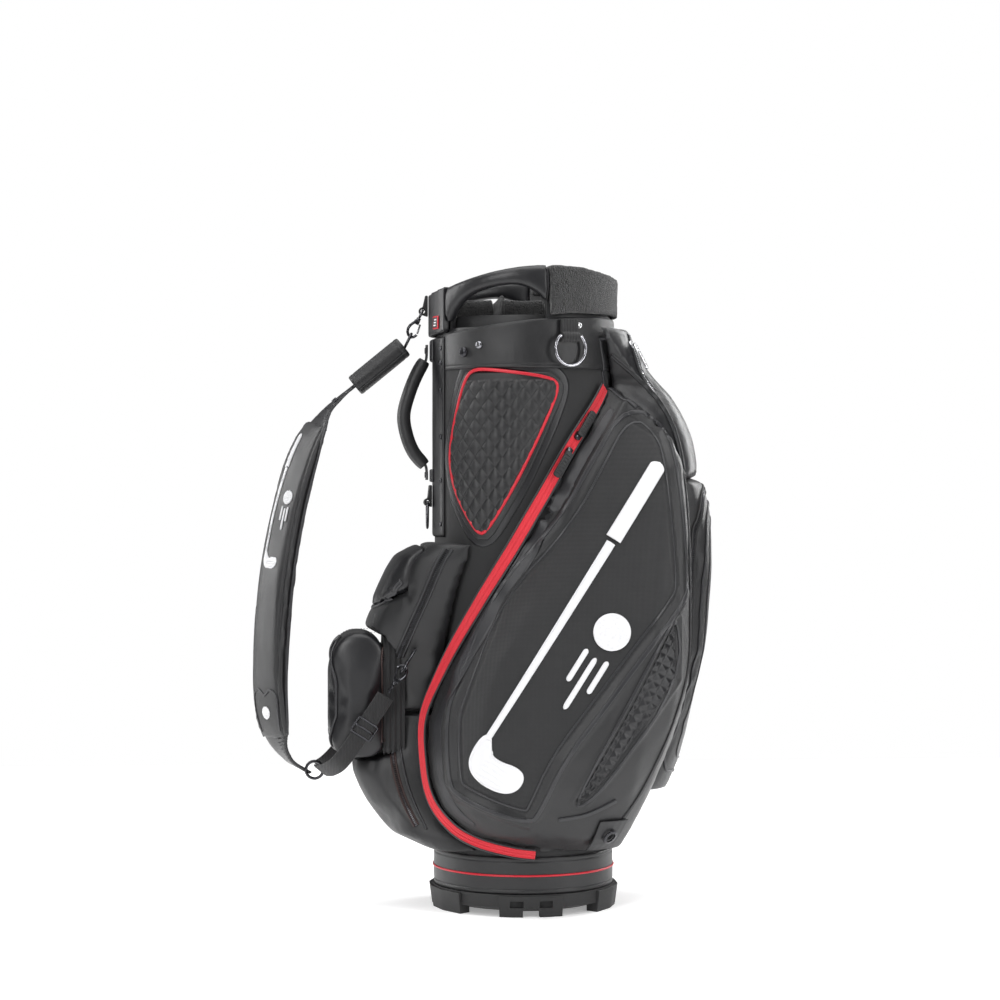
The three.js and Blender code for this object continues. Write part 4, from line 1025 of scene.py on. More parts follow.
def dome_on(place, name, centre, reach, height, rings=30, spokes=96, body="bag"):
    """A low filled shape; reach(turn) is its outline and height(share, a, b) its surface, in mm."""
    vertices = []
    for i in range(rings):
        share = i / (rings - 1)
        for k in range(spokes):
            turn = 2 * math.pi * k / spokes
            a, b = reach(turn) * share * math.cos(turn), reach(turn) * share * math.sin(turn)
            point, normal = place(centre[0] + a, centre[1] + b)
            vertices.append(point + normal * (height(share, a, b) * MM))
    faces = grid_faces(rings, spokes, close_columns=True)
    base = len(vertices)
    for k in range(spokes):
        turn = 2 * math.pi * k / spokes
        point, normal = place(centre[0] + reach(turn) * math.cos(turn),
                              centre[1] + reach(turn) * math.sin(turn))
        vertices.append(point - normal * (0.5 * MM))
        faces.append(((rings - 1) * spokes + k, (rings - 1) * spokes + (k + 1) % spokes,
                      base + (k + 1) % spokes, base + k))
    faces.append(tuple(base + k for k in range(spokes)))
    return publish(name, vertices, faces, WHITE, "white_applique", body=body)


def sewn_edge(offset):
    """Padded applique: crowned in the middle, with the stitching pressed in near each edge."""
    return (1.2 * (1 - offset * offset) - 0.9 * math.exp(-((abs(offset) - 0.62) / 0.09) ** 2)) * MM


def round_ended(wide, start=0.03, end=0.03):
    def width(t):
        ends = min(1.0, t / start), min(1.0, (1 - t) / end)
        return max(0.3, wide * math.prod(math.sqrt(1 - (1 - e) ** 2) for e in ends))
    return width


HEAD_OUTLINE = [(-7, 34), (-9, 8), (-4, -14), (12, -26), (40, -27), (62, -20), (72, -4), (68, 14), (52, 18),
                (30, 12), (14, 14), (7, 34)]
HEAD_CENTRE = (26, -6)
MOTIF_BALL = (64, 236)
BALL_SIZE = 25.0


def club_and_ball(prefix, place, scale, body="bag", thick=1.7):
    """The motif at a scale: shaft, bound grip, iron head with face lines, and a ball with three dashes."""
    def at(a, b):
        return place(a * scale, b * scale)

    made = [band_on(at, prefix + "_shaft", [(0, 28), (0, 130), (0, 240), (0, 336)],
                    lambda t: (8.5 + 4.5 * t) * scale, thick, body=body,
                    profile=lambda o: sewn_edge(o) * scale ** 0.5)]
    made.append(band_on(at, prefix + "_grip", [(0, 342), (0, 400), (0, 462)],
                        lambda t: round_ended(22)(0.5 + t / 2) * scale, thick * 1.3, count=220, body=body,
                        profile=lambda o: sewn_edge(o) * scale ** 0.5))
    corners = rounded_corners(HEAD_OUTLINE, 0.25)
    turns = sorted((math.atan2(b - HEAD_CENTRE[1], a - HEAD_CENTRE[0]) % (2 * math.pi),
                    math.hypot(a - HEAD_CENTRE[0], b - HEAD_CENTRE[1])) for a, b in corners)
    turns = [(turns[-1][0] - 2 * math.pi, turns[-1][1])] + turns + [(turns[0][0] + 2 * math.pi,
                                                                     turns[0][1])]

    def head_reach(turn):
        k = next(i for i in range(len(turns) - 1) if turns[i][0] <= turn <= turns[i + 1][0])
        (t0, r0), (t1, r1) = turns[k], turns[k + 1]
        return r0 + (r1 - r0) * (turn - t0) / max(t1 - t0, 1e-9)

    def head_height(share, a, b):
        crown = thick + 1.3 * math.sqrt(max(0.0, 1 - share ** 4))
        stitch = 0.9 * math.exp(-((share - 0.86) / 0.035) ** 2)
        lines = 0.8 * math.exp(-(((b / 7) % 1.0 - 0.5) / 0.14) ** 2) if share < 0.72 and a > -12 else 0.0
        return (crown - stitch - lines) * scale ** 0.5

    made.append(dome_on(at, prefix + "_head", HEAD_CENTRE, head_reach, head_height, spokes=144, body=body))
    pitch = BALL_SIZE / 3.6

    def ball_height(share, a, b):
        row = round(b / (pitch * 0.866))
        column = round(a / pitch - 0.5 * (row % 2))
        gap = math.hypot(a - (column + 0.5 * (row % 2)) * pitch, b - row * pitch * 0.866)
        dimple = 1.5 * max(0.0, 1 - (gap / (pitch * 0.42)) ** 2) if share < 0.88 else 0.0
        return (5.0 * math.sqrt(max(0.0, 1 - 0.8 * share ** 2)) - dimple) * scale ** 0.5

    made.append(dome_on(at, prefix + "_ball", MOTIF_BALL, lambda turn: BALL_SIZE, ball_height, body=body))
    for dash, (a, top, bottom) in enumerate(((48, 200, 150), (64, 196, 116), (80, 200, 150))):
        made.append(band_on(at, "%s_dash_%d" % (prefix, dash), [(a, bottom), (a, (top + bottom) / 2),
                                                                (a, top)],
                            lambda t: round_ended(7.5, 0.1, 0.1)(t) * scale, thick, count=60, body=body,
                            profile=lambda o: sewn_edge(o) * 0.6 * scale ** 0.5))
    return made


MOTIF_FOOT = (-64, 222)
MOTIF_UP = Vector((0.535, 0.845))


def on_panel(a, b):
    """The motif's plane on the near pocket: b runs up the diagonal and a to the right of it."""
    return near_skin.hit("near", MOTIF_FOOT[0] + MOTIF_UP.y * a + MOTIF_UP.x * b,
                         MOTIF_FOOT[1] - MOTIF_UP.x * a + MOTIF_UP.y * b)


for piece in club_and_ball("motif_near", on_panel, 1.0):
    mirrored(piece, piece.name.replace("near", "far"))


# ------------------------------------------------------------------ carrying strap
STRAP_ROUTE = smooth_line([Vector(p) * MM for p in (
    (-239, 0, 719), (-258, -1, 703), (-279, -3, 680), (-303, -5, 630), (-325, -6, 556), (-342, -8, 465),
    (-350, -8, 375), (-351, -8, 295), (-344, -8, 235), (-328, -8, 205), (-306, -8, 190))], 401)
TWIST = curve_through([(0, 0), (0.1, -18), (0.25, -33), (0.85, -33), (0.95, -20), (1, -8)])
PAD_FROM, PAD_TO = 0.116, 0.900
PAD_WIDE = curve_through([(0, 74), (0.1, 79), (0.9, 79), (1, 70)])


def strap_frame(t):
    """Centre, side direction and outward normal of the strap at a share t of its length."""
    k = min(max(int(t * 400), 1), 399)
    centre = STRAP_ROUTE[k]
    along = (STRAP_ROUTE[k + 1] - STRAP_ROUTE[k - 1]).normalized()
    turn = TWIST(t) * DEG
    side = Vector((math.sin(turn), math.cos(turn), 0))
    side = (side - along * side.dot(along)).normalized()
    normal = side.cross(along).normalized()
    if normal.x > 0:
        normal = -normal
    return centre, side, normal


def pad_channels(where):
    """Two long sewn channels and slight cross creases in the pad."""
    ks = np.linspace(PAD_FROM, PAD_TO, 60)
    frames = [strap_frame(t) for t in ks]
    spots = np.array([f[0] for f in frames])
    sides = np.array([f[1] for f in frames])
    nearest = ((where[:, None, :] - spots[None]) ** 2).sum(2).argmin(1)
    offset = ((where - spots[nearest]) * sides[nearest]).sum(1) * 1000
    groove = 1.5 * np.exp(-((np.abs(offset) - 29.5) / 1.4) ** 2)
    return 0.5 * ripples(where, 35, 11) - groove


pad = soft_copy("shoulder_pad", "strap_pad", LEATHER, "leather", voxel=4.0, cap=5.0, inset=1.8, relax=4,
                body="strap", shape=pad_channels)
pad_skin = Skin(["strap_pad"])


def on_pad(t, offset, outer=True):
    """A point and normal on the pad's face at a share of its length and an offset in mm across it."""
    centre, side, normal = strap_frame(PAD_FROM + (PAD_TO - PAD_FROM) * t)
    way = normal if outer else -normal
    point, found, _, _ = pad_skin.tree.ray_cast(centre + side * (offset * MM) + way * 0.06, -way)
    if point is None:
        return centre + side * (offset * MM), way
    return point, (found if found.dot(way) > 0 else -found)


def pad_line(points, count, outer=True):
    """Points and normals of a smooth line on the pad, from shares of its length and offsets in mm."""
    flat = smooth_line([Vector((t * 1000, o, 0)) for t, o in points], count)
    found = [on_pad(p.x / 1000, p.y, outer) for p in flat]
    return [f[0] for f in found], [f[1] for f in found]


for edge_name, edge_sign in (("near", -1), ("far", 1)):
    edge = []
    for k in range(141):
        t = 0.012 + 0.976 * k / 140
        centre, side, normal = strap_frame(PAD_FROM + (PAD_TO - PAD_FROM) * t)
        edge.append(centre + side * (edge_sign * (PAD_WIDE(t) / 2 - 1.2) * MM))
    cord_mesh("strap_pad_piping_" + edge_name, edge, 1.9 * MM, EDGE_LEATHER_PAINTED_HIGHLIGHT, "leather", body="strap",
              sides=12)
    for face_name, outer in (("outer", True), ("inner", False)):
        spots, normals = pad_line([(0.03 + 0.94 * k / 20, edge_sign * 29.5) for k in range(21)], 200, outer)
        stitches("strap_pad_stitch_" + edge_name + "_" + face_name, raised(spots, normals, 0.3), normals,
                 body="strap", pitch=0.0045, radius=0.0004)


def strap_webbing(name, start, end, wide, thick, material, replaces=()):
    """A flat part of the strap that follows its route."""
    count = 60
    points, normals = [], []
    for k in range(count):
        centre, _, normal = strap_frame(start + (end - start) * k / (count - 1))
        points.append(centre - normal * (thick / 2 * MM))
        normals.append(normal)
    return band_mesh(name, points, normals, lambda t: wide(t) * MM, thick * MM, material, "leather",
                     body="strap",
                     across=21, profile=lambda o: -0.5 * MM * math.exp(-((abs(o) - 0.8) / 0.05) ** 2),
                     replaces=replaces)


strap_webbing("strap_yoke_upper", 0.0, 0.132, curve_through([(0, 38), (0.6, 42), (1, 74)]), 5,
              SMOOTH_LEATHER,
              ("upper_yoke",))
strap_webbing("strap_yoke_lower", 0.884, 1.0, curve_through([(0, 68), (0.6, 36), (1, 26)]), 5,
              SMOOTH_LEATHER,
              ("lower_yoke",))


RIVET_HEIGHT = 1.4


def rivet(name, at, out, radius, material, body="bag", slot="gunmetal"):
    """A turned rivet head: a rolled rim round a low dome."""
    out = Vector(out).normalized()
    one = out.orthogonal().normalized()
    other = out.cross(one)
    profile = [(1.0, -0.6), (1.0, 0.25), (0.93, 0.7), (0.84, 0.85), (0.72, 0.7), (0.66, 0.5), (0.5, 0.75),
               (0.25, 0.95), (0.02, 1.0)]
    sections = [[at + one * (radius * r * MM * math.cos(2 * math.pi * k / 32))
                 + other * (radius * r * MM * math.sin(2 * math.pi * k / 32)) + out * (h * RIVET_HEIGHT * MM)
                 for k in range(32)] for r, h in profile]
    return swept(name, sections, material, slot, body=body)


for rivet_name, t, offset in (("a", 0.05, -12), ("b", 0.05, 12), ("c", 0.082, 0)):
    centre, side, normal = strap_frame(t)
    rivet("strap_rivet_" + rivet_name, centre + side * (offset * MM) + normal * (2.6 * MM), normal, 4.2,
          BLACK_METAL,
          body="strap", slot="black_metal")

# Sleeve: leather rolled round the strap's loop, with a lapped flap and a seam
SLEEVE_TOP = Vector((-168, 0, 777)) * MM
SLEEVE_END = Vector((-235, 0, 722)) * MM


def sleeve_place(u, v):
    along = (SLEEVE_END - SLEEVE_TOP).normalized()
    side = Vector((0, 1, 0))
    out = along.cross(side).normalized()
    turn = (u * 1.12 - 0.06) * 2 * math.pi
    spiral = 14.2 + 1.9 * u
    end = rounding(v, 0.05)
    radius = (spiral - 1.2 * (1 - end) - 0.5 * math.exp(-((min(v, 1 - v) - 0.09) / 0.012) ** 2)) * MM
    middle = SLEEVE_TOP.lerp(SLEEVE_END, v)
    way = side * math.cos(turn + 2.2) + out * math.sin(turn + 2.2)
    return middle + way * radius, middle + way * (radius - 1.6 * MM)


slab("strap_sleeve_roll", sleeve_place, 90, 60, LEATHER, "leather", body="strap",
     replaces=("strap_sleeve",))

# Webbing legs, with a triglide on each
LEG_ROUTE = [(-283, -18, 189), (-272, -47, 193), (-256, -73, 207), (-232, -78, 240), (-208, -79, 276),
             (-195, -79, 296)]
LEG_SIDE = Vector((0.72, 0.2, -0.62))
LEG_WIDE = 25.0


def weave_ribs(offset):
    return 0.22 * MM * math.cos(offset * 9 * math.pi)


def webbing_leg(name, mirror, shift, node):
    flip = -1 if mirror else 1
    line = smooth_line([Vector((x, (y + shift) * flip, z)) * MM for x, y, z in LEG_ROUTE], 90)
    side = Vector((LEG_SIDE.x, LEG_SIDE.y * flip, LEG_SIDE.z))
    along = tangents(line)
    normals = [(t.cross(side) * -flip).normalized() for t in along]
    line = [p - n * (1.2 * MM) for p, n in zip(line, normals)]
    band_mesh(name, line, normals, LEG_WIDE * MM, 2.4 * MM, WEBBING, "webbing", profile=weave_ribs,
              across=41,
              replaces=(node,))
    return line, normals, along


def triglide(name, centre, along, side, out, wide, tall):
    """A flat wire buckle: a rounded rectangle with a middle bar."""
    wire = 1.6
    corner = 4.0
    ring = []
    for k in range(48):
        turn = 2 * math.pi * k / 48
        a = max(-1, min(1, 1.35 * math.cos(turn))) * (wide / 2)
        b = max(-1, min(1, 1.35 * math.sin(turn))) * (tall / 2)
        ring.append(centre + side * (a * MM) + along * (b * MM) + out * (corner * 0.5 * MM))
    cord_mesh(name + "_frame", ring, wire * MM, BLACK_METAL, "black_metal", closed=True)
    bar_ends = [centre + side * (s * wide / 2 * MM) + out * (corner * 0.5 * MM) for s in (-1, -0.5, 0, 0.5,
                                                                                          1)]
    cord_mesh(name + "_bar", bar_ends, wire * MM, BLACK_METAL, "black_metal")


for leg_side, leg_mirror, leg_shift in (("near", False, 0), ("far", True, -6)):
    line, normals, along = webbing_leg("strap_leg_" + leg_side, leg_mirror, leg_shift, "leg_" + leg_side)
    k = 62
    triglide("triglide_" + leg_side, line[k], along[k], normals[k].cross(along[k]), normals[k], 31, 22)

# Grab handle: rolled leather with a welt along the outside, its ends bound, over two leather tabs
HANDLE_LINE = smooth_line([Vector(p) * MM for p in (
    (-132, 0, 766), (-147, 0, 741), (-159, 0, 712), (-166.5, 0, 682), (-163, 0, 655), (-153, 0, 630),
    (-136, 0, 610))], 161)
HANDLE_CLEAR = 134.8 * MM


def handle_part(name, start, end, radius, material):
    """A stretch of the rolled handle, round in section, with a welt along its outside."""
    points = [p for p in HANDLE_LINE[start:end] if -p.x > HANDLE_CLEAR + radius * 0.25 * MM]
    sections = []
    for i, (p, t) in enumerate(zip(points, tangents(points))):
        out = Vector((0, 1, 0)).cross(t).normalized()
        if out.x > 0:
            out = -out
        share = i / (len(points) - 1)
        size = radius * (0.8 + 0.2 * rounding(share, 0.08))
        ring = []
        for k in range(40):
            turn = 2 * math.pi * k / 40
            welt = 0.9 * math.exp(-((turn - math.pi / 2) / 0.16) ** 2) - 0.5 * math.exp(
                -((abs(turn - math.pi / 2) - 0.42) / 0.07) ** 2)
            reach = (size - 0.9 + welt) * MM
            ring.append(p + Vector((0, 1, 0)) * (reach * math.cos(turn)) + out * (reach * math.sin(turn)))
        sections.append(ring)
    return swept(name, sections, material, "leather", body="grab_handle", replaces=("grab_handle",))


grip = handle_part("grab_handle_roll", 0, 161, 9.8, LEATHER)
HANDLE_ENDS = (("top", 771, [(-133.4, 779), (-133.5, 768), (-134.5, 758), (-139, 748), (-145, 738)]),
               ("bottom", 598, [(-133.4, 591), (-133.5, 602), (-135, 611), (-140, 619), (-147, 628)]))
for end_name, rivet_z, spots in HANDLE_ENDS:
    line = smooth_line([Vector((x, 0, z)) * MM for x, z in spots], 40)
    turns = [Vector((0, 1, 0)).cross(t).normalized() for t in tangents(line)]
    turns = [-n if n.x > 0 else n for n in turns]
    band_mesh("grab_handle_end_" + end_name, line, turns, 14 * MM, 3.4 * MM, SMOOTH_LEATHER, "leather",
              body="grab_handle")
    rivet("grab_handle_rivet_" + end_name, Vector((-136.8, 0, rivet_z)) * MM, (-1, 0, 0), 4.4, BLACK_METAL,
          body="grab_handle", slot="black_metal")

TOWEL_ANGLE = 23.5
TOWEL_RING_R = 23.2
TOWEL_BAR_Z = 784.0


def towel_ring():
    """A D ring of thick wire: a straight bar through its tab, and most of a circle below the bar."""
    out = around(TOWEL_ANGLE, 1, 0).normalized()
    across = Vector((-out.y, out.x, 0))
    top = 45.0
    centre = around(TOWEL_ANGLE, 134.2, TOWEL_BAR_Z - TOWEL_RING_R * math.sin(top * DEG))
    dense = []
    for k in range(61):
        turn = (top - (180 + 2 * top) * k / 60) * DEG
        dense.append(centre + across * (TOWEL_RING_R * math.cos(turn) * MM)
                     + Vector((0, 0, TOWEL_RING_R * math.sin(turn) * MM)))
    line = evenly(dense + dense[:1], 140, closed=True)
    cord_mesh("towel_ring_steel", line, 2.4 * MM, GUNMETAL, "gunmetal", closed=True, sides=14, flat=0.8,
              normals=[out] * len(line), body="towel_ring", replaces=("towel_ring",))


towel_ring()
for tab_name, tab_node, tab_low, tab_high in (("top", "handle_tab_top", 756, 786),
                                              ("bottom", "handle_tab_bottom", 588, 606)):
    wrap("handle_tab_leather_" + tab_name, (-98.2, -81.8), (tab_low, tab_high), 127.4, 3.6, EDGE_LEATHER_PAINTED_HIGHLIGHT,
         "leather",
         rows=40, columns=30, edge=0.12, replaces=(tab_node,),
         relief=lambda degrees, z: -0.6 * math.exp(-((abs(degrees + 90) - 6.6) / 0.25) ** 2))


# ------------------------------------------------------------------ zips, pullers and bound edges
def teeth(name, spots, normals, pitch, long, wide, high, material, slot, lift=0.0):
    """Zip teeth: small rounded blocks across the line, one every `pitch` mm."""
    total = sum((b - a).length for a, b in zip(spots, spots[1:]))
    count = max(2, int(total / (pitch * MM)))
    places = evenly(spots, count)
    vertices, faces = [], []
    for i, (place, t) in enumerate(zip(places, tangents(places))):
        normal = normals[min(int(i / count * len(normals)), len(normals) - 1)]
        normal = (normal - t * normal.dot(t)).normalized()
        side = t.cross(normal)
        base = len(vertices)
        for level, share in ((0.0, 1.0), (0.6, 1.0), (1.0, 0.55)):
            for a, b in ((-1, -1), (1, -1), (1, 1), (-1, 1)):
                vertices.append(place + side * (a * long / 2 * share * MM) + t * (b * wide / 2 * share * MM)
                                + normal * ((lift + high * level) * MM))
        for level in range(2):
            for k in range(4):
                m = (k + 1) % 4
                faces.append((base + 4 * level + k, base + 4 * level + m, base + 4 * level + 4 + m,
                              base + 4 * level + 4 + k))
        faces += [(base + 3, base + 2, base + 1, base), (base + 8, base + 9, base + 10, base + 11)]
    return publish(name, vertices, faces, material, slot, smooth=False)


def zipped(skin, name, look, points, tape, material=TUBE_CLOTH, metal=BLACK_METAL, far=False):
    """A zip sewn on a surface: tape with folded edges, and teeth along it."""
    spots, normals = skin.trace(look, points, 260)
    made = [band_mesh(name + "_tape", spots, normals, tape * MM, 1.0 * MM, material, "fabric", across=21,
                      profile=lambda o: (0.9 * math.exp(-((abs(o) - 0.8) / 0.16) ** 2)) * MM, lift=0.2 * MM)]
    made.append(teeth(name + "_teeth", spots, normals, 2.6, 4.4, 1.5, 1.3, metal, "gunmetal", lift=1.0))
    if far:
        for piece in made:
            mirrored(piece, piece.name + "_far")


coil = teeth("zip_coil_near", raised(ZIP_LINE, ZIP_OUT, 1.0), ZIP_OUT, 2.0, 3.0, 1.2, 1.0, RED_TAPE,
             "red_trim")
mirrored(coil, "zip_coil_far")
for edge_name, edge_sign in (("tube_side", -1), ("pocket_side", 1)):
    edge = []
    for i, (point, out, t) in enumerate(zip(ZIP_LINE, ZIP_OUT, tangents(ZIP_LINE))):
        half = tape_width(i / (len(ZIP_LINE) - 1)) / 2 + 0.9 * MM
        edge.append(point + out.cross(t).normalized() * (edge_sign * half) + out * (0.9 * MM))
    piece = cord_mesh("zip_welt_" + edge_name + "_near", edge, 1.5 * MM, EDGE_LEATHER_PAINTED_HIGHLIGHT, "leather")
    mirrored(piece, "zip_welt_" + edge_name + "_far")


def beside_zip(offset, low, high):
    """A line in the view plane that keeps `offset` mm to the right of the zip."""
    flat = [(p.dot(RIGHT) / MM, p.z / MM) for p in ZIP_LINE if low * MM <= p.z <= high * MM]
    steps = 26
    flat = [flat[int(k * (len(flat) - 1) / (steps - 1))] for k in range(steps)]
    moved = []
    for k, (a, z) in enumerate(flat):
        a0, z0 = flat[max(k - 1, 0)]
        a1, z1 = flat[min(k + 1, steps - 1)]
        length = math.hypot(a1 - a0, z1 - z0)
        moved.append((a + abs(z1 - z0) / length * offset,
                      z - (a1 - a0) / length * offset * (1 if z1 > z0 else -1)))
    return moved


# The border strip beside the zip is drawn in the lighter leather: painted highlight.
binding(near_skin, "zip_border_near", "near", beside_zip(22, 108, 700), lambda t: 5 + 17 * rounding(t, 0.2),
        0.9,
        BORDER_LEATHER_PAINTED_HIGHLIGHT, "leather", count=300, across=25, far="zip_border_far",
        profile=lambda o: -0.7 * MM * math.exp(-((abs(o) - 0.8) / 0.05) ** 2))


def pocket_seams():
    """Welts, borders and zips of the apparel pockets and of the pockets on the +X side."""
    edge_seam = [(120, 762), (160, 728), (192, 690), (212, 640), (222, 560), (225, 481), (226, 400),
                 (222, 330),
                 (197, 250), (163, 178), (134, 134)]
    binding(near_skin, "pocket_welt_near", "near", edge_seam, 7.0, 1.9, SMOOTH_LEATHER, "leather",
            count=300,
            far="pocket_welt_far", profile=lambda o: -0.7 * MM * math.exp(-(o / 0.12) ** 2))
    zipped(near_skin, "side_zip", "side",
           [(-74, 186), (-84, 260), (-87, 420), (-82, 520), (-66, 566), (-28, 580), (28, 580), (66, 566),
            (82, 520),
            (87, 420), (84, 260), (74, 186)], 13)
    binding(near_skin, "side_pocket_border", "side",
            [(-60, 196), (-69, 262), (-71, 420), (-67, 510), (-54, 548), (-24, 560), (24, 560), (54, 548),
             (67, 510),
             (71, 420), (69, 262), (60, 196), (24, 186), (-24, 186)], 4.0, 1.8, EDGE_LEATHER_PAINTED_HIGHLIGHT, "leather",
            count=360,
            closed=True)
    binding(near_skin, "side_pocket_inner_border", "side",
            [(-48, 214), (-56, 270), (-58, 420), (-54, 500), (-42, 530), (-18, 540), (18, 540), (42, 530),
             (54, 500),
             (58, 420), (56, 270), (48, 214), (18, 204), (-18, 204)], 2.4, 1.2, EDGE_LEATHER_PAINTED_HIGHLIGHT, "leather",
            count=360,
            closed=True)
    zipped(near_skin, "upper_zip_near", "round", [(74, 792), (72, 770), (70, 742), (69, 712)], 11,
           metal=BRIGHT_METAL,
           far=True)
    binding(near_skin, "upper_welt_near", "round", [(50, 797), (52, 775), (56, 745), (60, 715), (62, 690)],
            6, 1.6,
            EDGE_LEATHER_PAINTED_HIGHLIGHT, "leather", count=120, far="upper_welt_far")
    sewn(near_skin, "upper_stitch_low", "side", [(-70, 604), (-35, 602), (0, 602), (35, 602), (70, 604)],
         lift=0.4)


pocket_seams()


def strap_side_seams():
    """Seams and zips of the bottle pocket with its hood, the lower pocket and the ball pocket."""
    bottle_seam = [(48, 408), (50, 360), (50, 300), (48, 280)]
    hood_lip = [(-76, 452), (-62, 432), (-34, 419), (0, 415), (34, 419), (62, 432), (76, 452)]
    binding(strap_skin, "hood_lip", "strap", hood_lip, 9, 2.4, EDGE_LEATHER_PAINTED_HIGHLIGHT, "leather", count=160,
            profile=lambda o: -0.7 * MM * math.exp(-(o / 0.1) ** 2))
    for offset, label in ((0, "outer"), (11, "inner")):
        piping(strap_skin, "bottle_zip_pipe_" + label + "_near", "near",
               [(-108 + offset, 496), (-121 + offset, 474), (-140 + offset, 430), (-160 + offset, 386),
                (-176 + offset, 348)], 1.8, EDGE_LEATHER_PAINTED_HIGHLIGHT, "leather", count=140,
               far="bottle_zip_pipe_" + label + "_far")
    zipped(strap_skin, "bottle_zip_near", "near", [(-103, 495), (-116, 473), (-135, 430), (-155, 386),
                                                   (-171, 348)], 8,
           far=True)
    zipped(strap_skin, "lower_zip_near", "near", [(-184, 262), (-181, 225), (-174, 184), (-162, 150),
                                                  (-146, 120)], 9,
           material=BROWN, far=True)
    piping(strap_skin, "lower_pocket_pipe_near", "near", [(-172, 262), (-169, 224), (-161, 182),
                                                          (-149, 148),
                                                          (-132, 116)], 1.7, EDGE_LEATHER_PAINTED_HIGHLIGHT, "leather",
           far="lower_pocket_pipe_far")
    for stitch_name, sign in (("bottle_front_stitch", -1), ("bottle_front_stitch_far", 1)):
        sewn(strap_skin, stitch_name, "strap", [(sign * a, z) for a, z in bottle_seam], lift=0.3)
    ball_skin = Skin(["ball_pocket_leather"])
    ball_rim = rounded_corners([(-58, 372), (58, 372), (58, 220), (-58, 220)], 0.2)
    piping(ball_skin, "ball_pocket_piping", "strap", ball_rim, 2.0, EDGE_LEATHER_PAINTED_HIGHLIGHT, "leather", count=260,
           closed=True,
           smooth=False, lift=0.7)
    sewn(ball_skin, "ball_pocket_stitch", "strap",
         rounded_corners([(-52, 366), (52, 366), (52, 226), (-52, 226)], 0.2),
         count=260, closed=True, smooth=False)
    zipped(ball_skin, "ball_zip_near", "near", [(-193, 232), (-193, 300), (-193, 360)], 7, material=BROWN,
           far=True)


strap_side_seams()


def collar_fittings():
    """Rivets on the spine, the towel snap, the badge on the collar, and the tabs."""
    rivet_heights = (772, 752, 714, 650, 590, 530)
    for k, height in enumerate(rivet_heights):
        for side_name, degrees in (("near", -68.5), ("far", -111.5)):
            rivet("spine_rivet_%s_%d" % (side_name, k), around(degrees, 127.3, height),
                  around(degrees, 1, 0), 3.4,
                  BLACK_METAL, slot="black_metal")
    rivet("towel_snap", around(31.5, 127.4, 800), around(31.5, 1, 0), 4.4, BRIGHT_METAL)
    wrap("collar_badge", (-73, -65.5), (798, 816), 133.4, 1.5, RED_PIPING, "red_trim", rows=30, columns=24,
         edge=0.1)
    wrap("collar_badge_face", (-72.3, -66.2), (799.6, 814.4), 134.2, 1.1, SMOOTH_LEATHER, "leather",
         rows=30,
         columns=24, edge=0.1)
    for k in range(3):
        wrap("collar_badge_bar_%d" % k, (-71.2 + k * 0.7, -67.8 + k * 0.4),
             (802.2 + 3.8 * k, 804 + 3.8 * k), 135.1, 0.6,
             WHITE, "white_applique", rows=16, columns=8, edge=0.3)
    for node, name, cloth, slot in (("towel_tab", "towel_webbing", WEBBING, "webbing"),
                                    ("umbrella_tab", "umbrella_webbing", WEBBING, "webbing"),
                                    ("strap_tab", "strap_tab_webbing", WEBBING, "webbing"),
                                    ("grommet_tab", "grommet_leather", SMOOTH_LEATHER, "leather")):
        soft_copy(node, name, cloth, slot, voxel=1.1, cap=0, inset=0.1, relax=2, levels=0,
                  shape=lambda where: 0.12 * ripples(where, 9, 12))


collar_fittings()


def axes_of(node):
    """Centre of a CAD plate, and its long, middle and thin directions, from its own points."""
    where = coordinates(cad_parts[node].data)
    middle = (where.max(0) + where.min(0)) / 2
    _, _, turned = np.linalg.svd(where - where.mean(0), full_matrices=False)
    spread = (where - where.mean(0)) @ turned.T
    order = np.argsort(-np.ptp(spread, axis=0))
    along, across, thin = (Vector(turned[k]) for k in order)
    place = where.mean(0) + sum(turned[k] * (spread[:, k].max() + spread[:, k].min()) / 2 for k in order)
    return Vector(place), along, across, thin, np.ptp(spread, axis=0)[order]


RIB_HALF = 0.0011
RIB_HEIGHT = 0.0012


def puller_ribs(node, name, body, outward, material, slot, count=7):
    """Moulded ribs on a puller's outer face."""
    place, along, across, thin, size = axes_of(node)
    thin = thin if thin.dot(outward) > 0 else -thin
    top = place + thin * (size[2] / 2 - 0.0002)
    vertices, faces = [], []
    for k in range(count):
        share = (k - (count - 1) / 2) / count
        spot = top + along * (share * size[0] * 0.82)
        section = [(-1.0, 0.0), (-0.6, 0.7), (0.0, 1.0), (0.6, 0.7), (1.0, 0.0)]
        base = len(vertices)
        ribs = [(-0.36, 0.4), (-0.3, 1.0), (0.3, 1.0), (0.36, 0.4)]
        for reach, tall in ribs:
            for a, h in section:
                vertices.append(spot + across * (reach * size[1]) + along * (a * RIB_HALF)
                                + thin * (h * tall * RIB_HEIGHT))
        n = len(section)
        for i in range(len(ribs) - 1):
            for j in range(n - 1):
                a = base + i * n + j
                faces.append((a, a + 1, a + n + 1, a + n))
            faces.append((base + i * n, base + (i + 1) * n, base + (i + 1) * n + n - 1,
                          base + i * n + n - 1))
        faces.append(tuple(base + j for j in reversed(range(n))))
        faces.append(tuple(base + (len(ribs) - 1) * n + j for j in range(n)))
    return publish(name, vertices, faces, material, slot, body=body, smooth=False)


